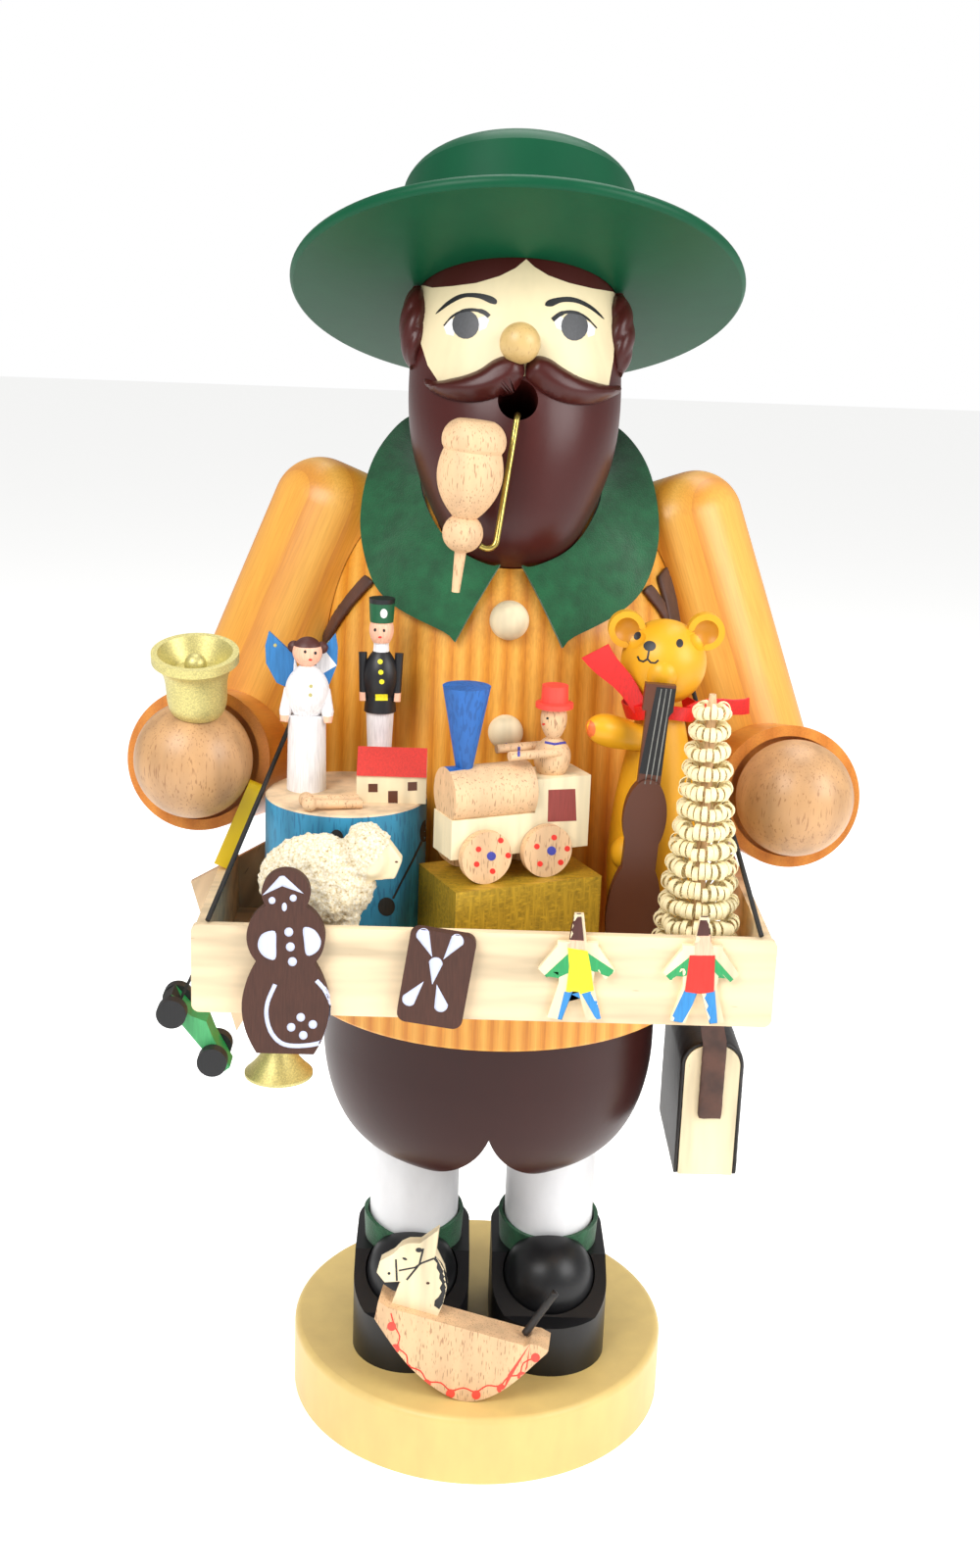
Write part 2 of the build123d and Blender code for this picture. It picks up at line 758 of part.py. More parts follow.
# Arms: an upper arm and a sleeve, turned alike and mitred at the elbow, with a ball hand
for side, name, elbow_x, elbow_z, hand_x, hand_z in (
        (-1, "left", left_elbow_x, left_elbow_z, left_hand_x, left_hand_z),
        (1, "right", right_elbow_x, right_elbow_z, right_hand_x, right_hand_z)):
    shoulder = Vector(side * shoulder_x, 0, shoulder_axis_z)
    elbow = Vector(side * elbow_x, elbow_y, elbow_z)
    hand_middle = Vector(side * hand_x, hand_y, hand_z)
    upper_way = (elbow - shoulder).normalized()
    lower_way = (hand_middle - elbow).normalized()
    mitre = Plane(origin=elbow, z_dir=(upper_way - lower_way * -1).normalized())
    cuff_end = (hand_middle - elbow).length - cuff_setback
    with BuildPart() as upper_arm:
        with BuildSketch(lathe_plane(tuple(shoulder), tuple(upper_way))):
            with BuildLine():
                top = -(shoulder_top_z - shoulder_axis_z)
                reach = (elbow - shoulder).length + elbow_heel + arm_radius
                Line((0, top), (arm_radius - shoulder_cap, top))
                ThreePointArc((arm_radius - shoulder_cap, top),
                              (arm_radius - shoulder_cap * 0.293, top + shoulder_cap * 0.293),
                              (arm_radius, top + shoulder_cap))
                Polyline((arm_radius, top + shoulder_cap), (arm_radius, reach), (0, reach), (0, top))
            make_face()
        revolve(axis=turning_axis(tuple(shoulder), tuple(upper_way)))
        split(bisect_by=mitre, keep=Keep.BOTTOM)
        add(jacket_envelope.part, mode=Mode.SUBTRACT)
    upper_arm.part.label = f"{name}_upper_arm"
    export_step(upper_arm.part, f"parts/{name}_upper_arm.step")
    with BuildPart() as sleeve:
        with BuildSketch(lathe_plane(tuple(elbow), tuple(lower_way))):
            with BuildLine():
                Polyline((0, -elbow_heel - arm_radius), (arm_radius, -elbow_heel - arm_radius), (arm_radius, cuff_end),
                         (arm_radius - cuff_wall, cuff_end), (arm_radius - cuff_wall, cuff_end - cuff_depth),
                         (0, cuff_end - cuff_depth), close=True)
            make_face()
        revolve(axis=turning_axis(tuple(elbow), tuple(lower_way)))
        split(bisect_by=mitre, keep=Keep.TOP)
        with Locations(tuple(hand_middle)):
            Sphere(hand_radius + glue_gap, mode=Mode.SUBTRACT)
        add(jacket_envelope.part, mode=Mode.SUBTRACT)
    sleeve.part.label = f"{name}_sleeve"
    export_step(sleeve.part, f"parts/{name}_sleeve.step")
    with BuildPart() as hand:
        with Locations(tuple(hand_middle)):
            Sphere(hand_radius)
    hand.part.label = f"{name}_hand"
    export_step(hand.part, f"parts/{name}_hand.step")

# Hand bell: turned, gilded, standing mouth up on the raised hand, with its clapper ball
bell_lean = math.radians(bell_tilt)
bell_way = (0, -math.sin(bell_lean), math.cos(bell_lean))
bell_foot = (-left_hand_x + bell_shift, hand_y + bell_way[1] * (hand_radius - bell_sink),
             left_hand_z + bell_way[2] * (hand_radius - bell_sink))
with BuildPart() as bell:
    with BuildSketch(lathe_plane(bell_foot, bell_way)):
        with BuildLine():
            Line((0, 0), (bell_foot_radius, 0))
            Spline((bell_foot_radius, 0), (bell_foot_radius * 1.45, bell_height * 0.12), (bell_mouth_radius * 0.70, bell_height * 0.42),
                   (bell_mouth_radius * 0.78, bell_height * 0.72), (bell_mouth_radius, bell_height - bell_rim))
            Polyline((bell_mouth_radius, bell_height - bell_rim), (bell_mouth_radius, bell_height),
                     (bell_mouth_radius - bell_dish_rim, bell_height))
            Line((bell_mouth_radius - bell_dish_rim, bell_height), (bell_mouth_radius * 0.55, bell_height - bell_hollow))
            Polyline((bell_mouth_radius * 0.55, bell_height - bell_hollow), (0, bell_height - bell_hollow), (0, 0))
        make_face()
    revolve(axis=turning_axis(bell_foot, bell_way))
    clapper_way = bell_height - bell_hollow + clapper_radius * 0.7
    with Locations((bell_foot[0], bell_foot[1] + clapper_way * bell_way[1], bell_foot[2] + clapper_way * bell_way[2])):
        Sphere(clapper_radius)
    with Locations((-left_hand_x, hand_y, left_hand_z)):
        Sphere(hand_radius + glue_gap, mode=Mode.SUBTRACT)
bell.part.label = "bell"
export_step(bell.part, "parts/bell.step")

# Vendor's tray: floor, front board and two end boards
tray_left = tray_shift - tray_width / 2
tray_right = tray_shift + tray_width / 2
tray_top_z = tray_bottom_z + tray_height
floor_top_z = tray_bottom_z + floor_board
front_back_y = tray_front_y + board
with BuildPart() as tray_front:
    with BuildSketch(Plane.XZ.offset(-front_back_y)):
        with Locations((tray_shift, tray_bottom_z + tray_height / 2)):
            RectangleRounded(tray_width, tray_height, tray_corner)
    extrude(amount=board)
tray_front.part.label = "tray_front"
export_step(tray_front.part, "parts/tray_front.step")

end_inset = board / 2
with BuildPart() as tray_ends:
    for x in (tray_left + end_inset, tray_right - end_inset - board):
        with BuildSketch(Plane.XY.offset(tray_bottom_z)):
            with BuildLine():
                Polyline((x, front_back_y), (x + board, front_back_y), (x + board, tray_rear_y), (x, tray_rear_y), close=True)
            make_face()
        extrude(amount=tray_height)
tray_ends.part.label = "tray_ends"
export_step(tray_ends.part, "parts/tray_ends.step")

with BuildPart() as tray_floor:
    with BuildSketch(Plane.XY.offset(tray_bottom_z)):
        with BuildLine():
            floor_left = tray_left + end_inset + board
            floor_right = tray_right - end_inset - board
            Polyline((floor_left, front_back_y), (floor_right, front_back_y), (floor_right, tray_rear_y),
                     (floor_left, tray_rear_y), close=True)
        make_face()
    extrude(amount=floor_board)
    add(jacket_envelope.part, mode=Mode.SUBTRACT)
tray_floor.part.label = "tray_floor"
export_step(tray_floor.part, "parts/tray_floor.step")

# Toy drum with its hoops and the two sticks on it
drum_top_z = floor_top_z + drum_height
with BuildPart() as drum:
    with BuildSketch(Plane.XY.offset(floor_top_z)):
        with Locations((drum_x, drum_y)):
            Circle(drum_radius)
    extrude(amount=drum_height)
    chamfer(drum.edges().group_by(Axis.Z)[-1], drum_hoop)
drum.part.label = "drum"
export_step(drum.part, "parts/drum.step")

with BuildPart() as drumsticks:
    for step in (-1, 1):
        turn = math.radians(stick_turn)
        start = (drum_x - drum_radius * 0.42 - step * stick_tip_radius * 1.05 * math.sin(turn),
                 drum_y - drum_radius * 0.74 + step * stick_tip_radius * 1.05, drum_top_z + stick_tip_radius)
        way = (math.cos(turn), math.sin(turn), -(stick_tip_radius - stick_radius) / stick_length)
        with Locations(Plane(origin=start, z_dir=way)):
            Sphere(stick_tip_radius)
        with BuildSketch(Plane(origin=start, z_dir=way)):
            Circle(stick_radius)
        extrude(amount=stick_length)
drumsticks.part.label = "drumsticks"
export_step(drumsticks.part, "parts/drumsticks.step")

# Angel candle figure: skirt, bodice, arms, head with hair and two wings
with BuildPart() as angel:
    with BuildSketch(Plane(origin=(angel_x, angel_y, drum_top_z), x_dir=(1, 0, 0), z_dir=(0, -1, 0))):
        with BuildLine():
            waist = angel_height * 0.55
            chest_top = angel_height - angel_head_radius * 0.8
            Polyline((0, 0), (angel_skirt_radius, 0), (angel_skirt_radius * 0.94, waist), (angel_waist_radius, waist))
            Spline((angel_waist_radius, waist), (angel_chest_radius, waist + (chest_top - waist) * 0.62),
                   (angel_waist_radius * 0.35, chest_top))
            Polyline((angel_waist_radius * 0.35, chest_top), (0, chest_top), (0, 0))
        make_face()
    revolve(axis=Axis((angel_x, angel_y, 0), (0, 0, 1)))
    with Locations((angel_x, angel_y, drum_top_z + angel_height)):
        Sphere(angel_head_radius)
    shoulder_rise = drum_top_z + angel_height - angel_head_radius * 2.5
    for side in (-1, 1):
        with Locations((angel_x + side * angel_head_radius * 0.92, angel_y + angel_head_radius * 0.22,
                        drum_top_z + angel_height + angel_head_radius * 0.25)):
            Sphere(angel_head_radius * 0.42)
        arm_top = (angel_x + side * angel_chest_radius * 0.90, angel_y, shoulder_rise)
        arm_way = (side * 0.10, -0.35, -1)
        with BuildSketch(lathe_plane(arm_top, arm_way)):
            with BuildLine():
                Polyline((0, 0), (angel_head_radius * 0.28, 0), (angel_head_radius * 0.42, waist * 0.30),
                         (angel_head_radius * 0.25, waist * 0.44), (0, waist * 0.44), close=True)
            make_face()
        revolve(axis=turning_axis(arm_top, arm_way))
        with BuildSketch(Plane.XZ.offset(-angel_y - angel_waist_radius * 0.6)):
            with BuildLine():
                wing = side * angel_head_radius * (1 if side < 0 else wing_far_share)
                Polyline((angel_x + wing * 0.30, shoulder_rise - angel_head_radius * 0.6),
                         (angel_x + wing * 0.92, shoulder_rise + angel_head_radius * 2.1),
                         (angel_x + wing * 2.62, shoulder_rise + angel_head_radius * 3.65),
                         (angel_x + wing * 2.86, shoulder_rise + angel_head_radius * 2.7),
                         (angel_x + wing * 2.80, shoulder_rise + angel_head_radius * 1.5),
                         (angel_x + wing * 2.10, shoulder_rise + angel_head_radius * 0.2), close=True)
            make_face()
        extrude(amount=-angel_head_radius * 0.35)
angel.part.label = "angel"
export_step(angel.part, "parts/angel.step")

# Miner candle figure: white legs, black tunic, head, tall hat and arms
with BuildPart() as miner:
    with BuildSketch(Plane(origin=(miner_x, miner_y, drum_top_z), x_dir=(1, 0, 0), z_dir=(0, -1, 0))):
        with BuildLine():
            leg_top = miner_height * 0.388
            tunic_top = miner_height * 0.715
            neck_top = miner_height * 0.755
            hat_low = miner_height * 0.874
            Line((0, 0), (miner_radius * 0.66, 0))
            Line((miner_radius * 0.66, 0), (miner_radius * 0.86, leg_top))
            Polyline((miner_radius * 0.86, leg_top), (miner_radius, leg_top), (miner_radius * 0.90, leg_top + miner_radius))
            Spline((miner_radius * 0.90, leg_top + miner_radius), (miner_radius * 1.02, tunic_top - miner_radius), (miner_radius * 0.5, tunic_top))
            Polyline((miner_radius * 0.5, tunic_top), (miner_radius * 0.46, neck_top))
            Spline((miner_radius * 0.46, neck_top), (miner_radius * 0.74, (neck_top + hat_low) / 2), (miner_radius * 0.66, hat_low))
            Polyline((miner_radius * 0.66, hat_low), (miner_radius * 0.72, hat_low), (miner_radius * 0.80, miner_height), (0, miner_height), (0, 0))
        make_face()
    revolve(axis=Axis((miner_x, miner_y, 0), (0, 0, 1)))
    for side in (-1, 1):
        arm_top = (miner_x + side * miner_radius * 1.12, miner_y, drum_top_z + tunic_top - miner_radius * 0.1)
        arm_way = (side * -0.04, -0.12, -1)
        with BuildSketch(lathe_plane(arm_top, arm_way)):
            with BuildLine():
                Polyline((0, 0), (miner_radius * 0.26, 0), (miner_radius * 0.26, miner_height * 0.26), (0, miner_height * 0.26), close=True)
            make_face()
        revolve(axis=turning_axis(arm_top, arm_way))
miner.part.label = "miner"
export_step(miner.part, "parts/miner.step")

# Toy house
with BuildPart() as toy_house:
    with BuildSketch(Plane.YZ.offset(house_x - house_width / 2)):
        with BuildLine():
            half = house_depth / 2
            eave_z = drum_top_z + house_wall
            Polyline((house_y - half, drum_top_z), (house_y + half, drum_top_z), (house_y + half, eave_z),
                     (house_y + half + roof_overhang, eave_z), (house_y, eave_z + house_roof),
                     (house_y - half - roof_overhang, eave_z), (house_y - half, eave_z), close=True)
        make_face()
    extrude(amount=house_width)
toy_house.part.label = "toy_house"
export_step(toy_house.part, "parts/toy_house.step")

# Sheep: a sawn body in fleece, standing in front of the drum
with BuildPart() as sheep:
    back_z = floor_top_z + sheep_leg + sheep_body_height
    for along_share, rise_share, long_share, tall_share, turn in ((-0.10, 0.50, 0.40, 0.50, 0), (0.26, 0.84, 0.16, 0.30, 25)):
        for depth_share, size_share in ((-0.5, 0.62), (0.0, 1.0), (0.5, 0.62)):
            with BuildSketch(Plane.XZ.offset(-sheep_y + depth_share * sheep_thickness)):
                with Locations((sheep_x + sheep_length * along_share, floor_top_z + sheep_leg + sheep_body_height * rise_share)):
                    Ellipse(sheep_length * long_share * size_share, sheep_body_height * tall_share * size_share, rotation=turn)
        loft()
    for share in (-0.36, 0.12):
        with BuildSketch(Plane.XY.offset(floor_top_z)):
            with Locations((sheep_x + sheep_length * share, sheep_y)):
                Rectangle(sheep_length * 0.13, sheep_thickness * 0.6)
        extrude(amount=sheep_leg + sheep_body_height * 0.3)
    with BuildSketch(Plane.XZ.offset(-sheep_y - sheep_thickness * 0.22)):
        with BuildLine():
            Polyline((sheep_x + sheep_length * 0.18, back_z), (sheep_x + sheep_length * 0.40, back_z - sheep_body_height * 0.02),
                     (sheep_x + sheep_length * 0.50, back_z - sheep_body_height * 0.22),
                     (sheep_x + sheep_length * 0.45, back_z - sheep_body_height * 0.42),
                     (sheep_x + sheep_length * 0.20, back_z - sheep_body_height * 0.46), close=True)
        make_face()
    extrude(amount=sheep_thickness * 0.44)
sheep.part.label = "sheep"
export_step(sheep.part, "parts/sheep.step")

# Golden crate with the locomotive on it
crate_plane = Plane(origin=(crate_x, crate_y, floor_top_z), x_dir=(math.cos(math.radians(crate_turn)), math.sin(math.radians(crate_turn)), 0))
with BuildPart() as golden_crate:
    with BuildSketch(crate_plane):
        Rectangle(crate_width, crate_depth)
    extrude(amount=crate_height)
golden_crate.part.label = "golden_crate"
export_step(golden_crate.part, "parts/golden_crate.step")

engine_plane = crate_plane.offset(crate_height)
axle_lift = wheel_radius
chassis_low = axle_lift - chassis_height * 0.05
deck = chassis_low + chassis_height
with BuildPart() as locomotive:
    with BuildSketch(engine_plane.offset(chassis_low)):
        with Locations((0, 0)):
            Rectangle(engine_length, chassis_width)
    extrude(amount=chassis_height)
    with BuildSketch(engine_plane.offset(deck - overrun)):
        with Locations((engine_length / 2 - cab_length / 2, 0)):
            Rectangle(cab_length, chassis_width)
    extrude(amount=cab_height)
    boiler_plane = Plane(origin=engine_plane.from_local_coords((engine_length / 2 - cab_length, 0, deck + boiler_radius * 0.72)), x_dir=engine_plane.y_dir, z_dir=engine_plane.x_dir * -1)
    with BuildSketch(boiler_plane):
        Circle(boiler_radius)
    extrude(amount=boiler_length + (engine_length - cab_length - boiler_length) * 0.6)
    with BuildSketch(lathe_plane(engine_plane.from_local_coords((-engine_length * 0.36, 0, deck + boiler_radius)), (0, 0, 1))):
        with BuildLine():
            Polyline((0, 0), (funnel_foot_radius, 0), (funnel_foot_radius, boiler_radius * 0.72),
                     (funnel_radius, boiler_radius * 0.72 + funnel_height), (0, boiler_radius * 0.72 + funnel_height), close=True)
        make_face()
    revolve(axis=turning_axis(engine_plane.from_local_coords((-engine_length * 0.36, 0, 0)), (0, 0, 1)))
    for share in (-0.5, 0.5):
        axle_plane = Plane(origin=engine_plane.from_local_coords((share * wheel_base - engine_length * 0.05, -chassis_width, axle_lift)), x_dir=engine_plane.x_dir, z_dir=engine_plane.y_dir)
        with BuildSketch(axle_plane):
            Circle(axle_radius + fit_gap)
        extrude(amount=2 * chassis_width, mode=Mode.SUBTRACT)
locomotive.part.label = "locomotive"
export_step(locomotive.part, "parts/locomotive.step")

with BuildPart() as loco_wheels:
    for share in (-0.5, 0.5):
        axle_x = share * wheel_base - engine_length * 0.05
        half_track = chassis_width / 2 + glue_gap
        for side in (-1, 1):
            wheel_plane = Plane(origin=engine_plane.from_local_coords((axle_x, side * (half_track + wheel_thickness / 2) - wheel_thickness / 2, axle_lift)),
                                x_dir=engine_plane.x_dir, z_dir=engine_plane.y_dir)
            with BuildSketch(wheel_plane):
                Circle(wheel_radius)
            extrude(amount=wheel_thickness)
        shaft_plane = Plane(origin=engine_plane.from_local_coords((axle_x, -half_track - overrun / 2, axle_lift)),
                            x_dir=engine_plane.x_dir, z_dir=engine_plane.y_dir)
        with BuildSketch(shaft_plane):
            Circle(axle_radius)
        extrude(amount=2 * half_track + overrun)
loco_wheels.part.label = "loco_wheels"
export_step(loco_wheels.part, "parts/loco_wheels.step")

# Engine driver: bust behind the boiler, arms stretched forward, flat cap
cab_top = deck - overrun + cab_height
with BuildPart() as engine_driver:
    driver_foot = engine_plane.from_local_coords((engine_length / 2 - cab_length * 0.55, 0, cab_top))
    with BuildSketch(lathe_plane(driver_foot, (0, 0, 1))):
        with BuildLine():
            Line((0, 0), (driver_radius, 0))
            Spline((driver_radius, 0), (driver_radius * 1.15, driver_height * 0.45), (driver_radius * 0.45, driver_height * 0.62))
            Spline((driver_radius * 0.45, driver_height * 0.62), (driver_head_radius, driver_height * 0.90), (driver_head_radius * 0.85, driver_height * 1.16))
            Polyline((driver_head_radius * 0.85, driver_height * 1.16), (driver_head_radius * 1.45, driver_height * 1.16),
                     (driver_head_radius * 1.45, driver_height * 1.24), (driver_head_radius * 1.05, driver_height * 1.26),
                     (driver_head_radius * 1.0, driver_height * 1.55), (0, driver_height * 1.55), (0, 0))
        make_face()
    revolve(axis=turning_axis(driver_foot, (0, 0, 1)))
    for side in (-1, 1):
        reach_plane = Plane(origin=engine_plane.from_local_coords((engine_length / 2 - cab_length * 0.55, side * driver_radius * 1.05, cab_top + driver_height * 0.42)),
                            x_dir=engine_plane.y_dir, z_dir=engine_plane.x_dir * -1)
        with BuildSketch(reach_plane):
            Circle(driver_radius * 0.32)
        extrude(amount=driver_height * 0.95)
engine_driver.part.label = "engine_driver"
export_step(engine_driver.part, "parts/engine_driver.step")

# Teddy bear: egg body with legs and one arm held out, and a round head with ears
with BuildPart() as teddy_body:
    teddy_foot = (teddy_x, teddy_y, floor_top_z)
    with BuildSketch(lathe_plane(teddy_foot, (0, 0, 1))):
        with BuildLine():
            body_top = teddy_head_z - teddy_head_radius * 0.80 - floor_top_z
            Line((0, 0), (teddy_body_radius * 0.62, 0))
            Spline((teddy_body_radius * 0.62, 0), (teddy_body_radius, body_top * 0.34), (teddy_body_radius * 0.80, body_top * 0.70),
                   (teddy_body_radius * 0.42, body_top))
            Polyline((teddy_body_radius * 0.42, body_top), (0, body_top), (0, 0))
        make_face()
    revolve(axis=turning_axis(teddy_foot, (0, 0, 1)))
    arm_top = (teddy_x - teddy_body_radius * 0.35, teddy_y - teddy_body_radius * 0.25, floor_top_z + body_top * 0.84)
    arm_way = (-0.80, -0.51, 0.30)
    with BuildSketch(lathe_plane(arm_top, arm_way)):
        with BuildLine():
            Line((0, 0), (teddy_arm_radius * 0.9, 0))
            Spline((teddy_arm_radius * 0.9, 0), (teddy_arm_radius, teddy_arm_radius * 2.2), (teddy_arm_radius * 0.72, teddy_arm_radius * 4.2), (0, teddy_arm_radius * 4.8))
            Line((0, teddy_arm_radius * 4.8), (0, 0))
        make_face()
    revolve(axis=turning_axis(arm_top, arm_way))
    with Locations((teddy_x - teddy_body_radius * 0.55, teddy_y - teddy_body_radius * 0.55, floor_top_z + body_top * 0.42)):
        Sphere(teddy_arm_radius * 1.25)
teddy_body.part.label = "teddy_body"
export_step(teddy_body.part, "parts/teddy_body.step")

with BuildPart() as teddy_head:
    with Locations((teddy_x, teddy_y, teddy_head_z)):
        Sphere(teddy_head_radius)
    with Locations((teddy_x - teddy_head_radius * 0.1, teddy_y - teddy_head_radius * 0.72, teddy_head_z - teddy_head_radius * 0.12)):
        Sphere(teddy_head_radius * 0.40)
    for side in (-1, 1):
        ear_middle = (teddy_x + side * teddy_head_radius * 0.92, teddy_y - teddy_head_radius * 0.12, teddy_head_z + teddy_head_radius * 0.78)
        with BuildSketch(Plane(origin=ear_middle, x_dir=(1, 0, 0), z_dir=(0, -1, 0))):
            Circle(teddy_ear_radius)
        extrude(amount=teddy_ear_radius * 0.35, both=True)
        with Locations((ear_middle[0], ear_middle[1] - teddy_ear_radius * 1.1, ear_middle[2])):
            Sphere(teddy_ear_radius, mode=Mode.SUBTRACT)
    with BuildPart(mode=Mode.PRIVATE) as teddy_shoulders:
        with Locations((teddy_x, teddy_y, floor_top_z)):
            Cylinder(teddy_body_radius * 0.42 + glue_gap * 3, body_top + fit_gap, align=(Align.CENTER, Align.CENTER, Align.MIN))
    add(teddy_shoulders.part, mode=Mode.SUBTRACT)
teddy_head.part.label = "teddy_head"
export_step(teddy_head.part, "parts/teddy_head.step")

# Violin with neck, leaning back and to one side
with BuildPart() as violin:
    violin_plane = lathe_plane((violin_x, violin_y, floor_top_z + glue_gap * 2), (violin_side_lean, violin_back_lean, 1))
    with BuildSketch(violin_plane):
        half = violin_width / 2
        with Locations((0, violin_body * 0.30)):
            Ellipse(half, violin_body * 0.30)
        with Locations((0, violin_body * 0.80)):
            Ellipse(half * 0.80, violin_body * 0.20)
        with Locations((0, violin_body * 0.58)):
            Rectangle(half * 1.25, violin_body * 0.4)
    extrude(amount=violin_thickness / 2, both=True)
    with BuildSketch(violin_plane):
        with Locations((0, violin_body + (violin_length - violin_body) * 0.4)):
            Rectangle(violin_width * 0.42, (violin_length - violin_body) * 0.9)
        with Locations((0, violin_length - violin_width * 0.30)):
            Rectangle(violin_width * 0.56, violin_width * 0.50)
    extrude(amount=violin_thickness * 0.35, both=True)
violin.part.label = "violin"
export_step(violin.part, "parts/violin.step")

# Wood-curl tree: a stick that carries ever wider rings of shaved curls, each ring a cup of its outer shape
with BuildPart() as curl_tree:
    with BuildSketch(lathe_plane((tree_x, tree_y, floor_top_z), (0, 0, 1))):
        with BuildLine():
            tier = (tree_height - tree_top_radius) / tree_tiers
            outline = [(0, 0), (tree_stem_radius, 0)]
            for number in range(tree_tiers):
                share = number / (tree_tiers - 1)
                radius = tree_bottom_radius + (tree_top_radius - tree_bottom_radius) * share
                low = tier * (number + 0.25)
                outline += [(tree_stem_radius, low), (radius, low + tier * 0.15), (radius, low + tier * 0.50), (tree_stem_radius, low + tier * 0.72)]
            outline += [(tree_stem_radius, tree_height), (0, tree_height)]
            Polyline(*outline, close=True)
        make_face()
    revolve(axis=turning_axis((tree_x, tree_y, floor_top_z), (0, 0, 1)))
curl_tree.part.label = "curl_tree"
export_step(curl_tree.part, "parts/curl_tree.step")

# Gingerbread woman and tile, glued on the front board
front_face = Plane.XZ.offset(-tray_front_y)
with BuildPart() as gingerbread:
    with BuildSketch(front_face):
        with Locations((cookie_x, cookie_head_z)):
            Circle(cookie_head_radius)
        with Locations((cookie_x, cookie_chest_z)):
            Circle(cookie_chest_radius)
        with BuildLine():
            half = cookie_skirt_width / 2
            Line((cookie_x - half * 0.55, cookie_skirt_top_z + overrun), (cookie_x + half * 0.55, cookie_skirt_top_z + overrun))
            Spline((cookie_x + half * 0.55, cookie_skirt_top_z + overrun), (cookie_x + half, (cookie_skirt_top_z + cookie_foot_z) / 2), (cookie_x + half * 0.66, cookie_foot_z))
            Line((cookie_x + half * 0.66, cookie_foot_z), (cookie_x - half * 0.66, cookie_foot_z))
            Spline((cookie_x - half * 0.66, cookie_foot_z), (cookie_x - half, (cookie_skirt_top_z + cookie_foot_z) / 2), (cookie_x - half * 0.55, cookie_skirt_top_z + overrun))
        make_face()
    extrude(amount=gingerbread_thickness)
    with BuildSketch(front_face):
        with Locations(Location((tile_x, tile_z, 0), (0, 0, tile_turn))):
            RectangleRounded(tile_width, tile_height, tile_corner)
    extrude(amount=gingerbread_thickness)
gingerbread.part.label = "gingerbread"
export_step(gingerbread.part, "parts/gingerbread.step")

# Two flat painted dolls on the front board
doll_top = doll_z + doll_height / 2
with BuildPart() as flat_dolls:
    for x in (yellow_doll_x, red_doll_x):
        with BuildSketch(front_face):
            with BuildLine():
                Polyline((x - doll_height * 0.04, doll_top), (x + doll_height * 0.04, doll_top),
                         (x + doll_height * 0.08, doll_top - doll_height * 0.29),
                         (x - doll_height * 0.08, doll_top - doll_height * 0.29), close=True)
            make_face()
            with BuildLine():
                Polyline((x - doll_height * 0.18, doll_top - doll_height * 0.26),
                         (x + doll_height * 0.18, doll_top - doll_height * 0.26),
                         (x + doll_height * 0.15, doll_top - doll_height * 0.66),
                         (x - doll_height * 0.15, doll_top - doll_height * 0.66), close=True)
            make_face()
            for side in (-1, 1):
                with BuildLine():
                    Polyline((x + side * doll_height * 0.16, doll_top - doll_height * 0.27),
                             (x + side * doll_height * 0.34, doll_top - doll_height * 0.52),
                             (x + side * doll_height * 0.26, doll_top - doll_height * 0.60),
                             (x + side * doll_height * 0.12, doll_top - doll_height * 0.44), close=True)
                make_face()
                with BuildLine():
                    Polyline((x, doll_top - doll_height * 0.64),
                             (x + side * doll_height * 0.15, doll_top - doll_height * 0.64),
                             (x + side * doll_height * 0.24, doll_top - doll_height * 0.98),
                             (x + side * doll_height * 0.11, doll_top - doll_height), close=True)
                make_face()
        extrude(amount=doll_thickness)
flat_dolls.part.label = "flat_dolls"
export_step(flat_dolls.part, "parts/flat_dolls.step")

# Toy kite glued to the rear of the left end board
with BuildPart() as toy_kite:
    with BuildSketch(Plane.XZ.offset(-tray_rear_y)):
        with BuildLine():
            Polyline((kite_left_x, kite_side_z), (kite_top_x, kite_top_z), (kite_right_x, kite_side_z - kite_thickness), (kite_foot_x, kite_foot_z), close=True)
        make_face()
    extrude(amount=-kite_thickness)
toy_kite.part.label = "toy_kite"
export_step(toy_kite.part, "parts/toy_kite.step")

# Race car that dangles on a short cord at the tray's left corner
dive = math.radians(racer_dive)
racer_plane = Plane(origin=(racer_x, racer_y, racer_z), x_dir=(math.cos(dive), 0, -math.sin(dive)), z_dir=(0, -1, 0))
with BuildPart() as race_car:
    with BuildSketch(racer_plane):
        with BuildLine():
            half = racer_length / 2
            Polyline((-half, -racer_height * 0.35), (half, -racer_height * 0.35), (half, racer_height * 0.1),
                     (half * 0.25, racer_height * 0.4), (-half * 0.1, racer_height * 0.65),
                     (-half * 0.4, racer_height * 0.25), (-half, racer_height * 0.2), close=True)
        make_face()
    extrude(amount=racer_width / 2, both=True)
    for share in (-0.72, 0.62):
        with BuildSketch(racer_plane):
            with Locations((half * share, -racer_height * 0.2)):
                Circle(axle_radius)
        extrude(amount=racer_width / 2 + overrun, both=True)
        for side in (-1, 1):
            with BuildSketch(racer_plane.offset(side * (racer_width / 2 + glue_gap))):
                with Locations((half * share, -racer_height * 0.2)):
                    Circle(racer_wheel_radius)
            extrude(amount=side * racer_wheel_width)
    hook = (tray_left + end_inset - glue_gap - racer_cord_radius, racer_y, racer_hook_z)
    cord_way = Vector(racer_x - half * math.cos(dive) * 0.7, racer_y, racer_z + half * math.sin(dive) * 0.7) - Vector(*hook)
    with BuildSketch(Plane(origin=hook, z_dir=cord_way)):
        Circle(racer_cord_radius)
    extrude(amount=cord_way.length)
race_car.part.label = "race_car"
export_step(race_car.part, "parts/race_car.step")

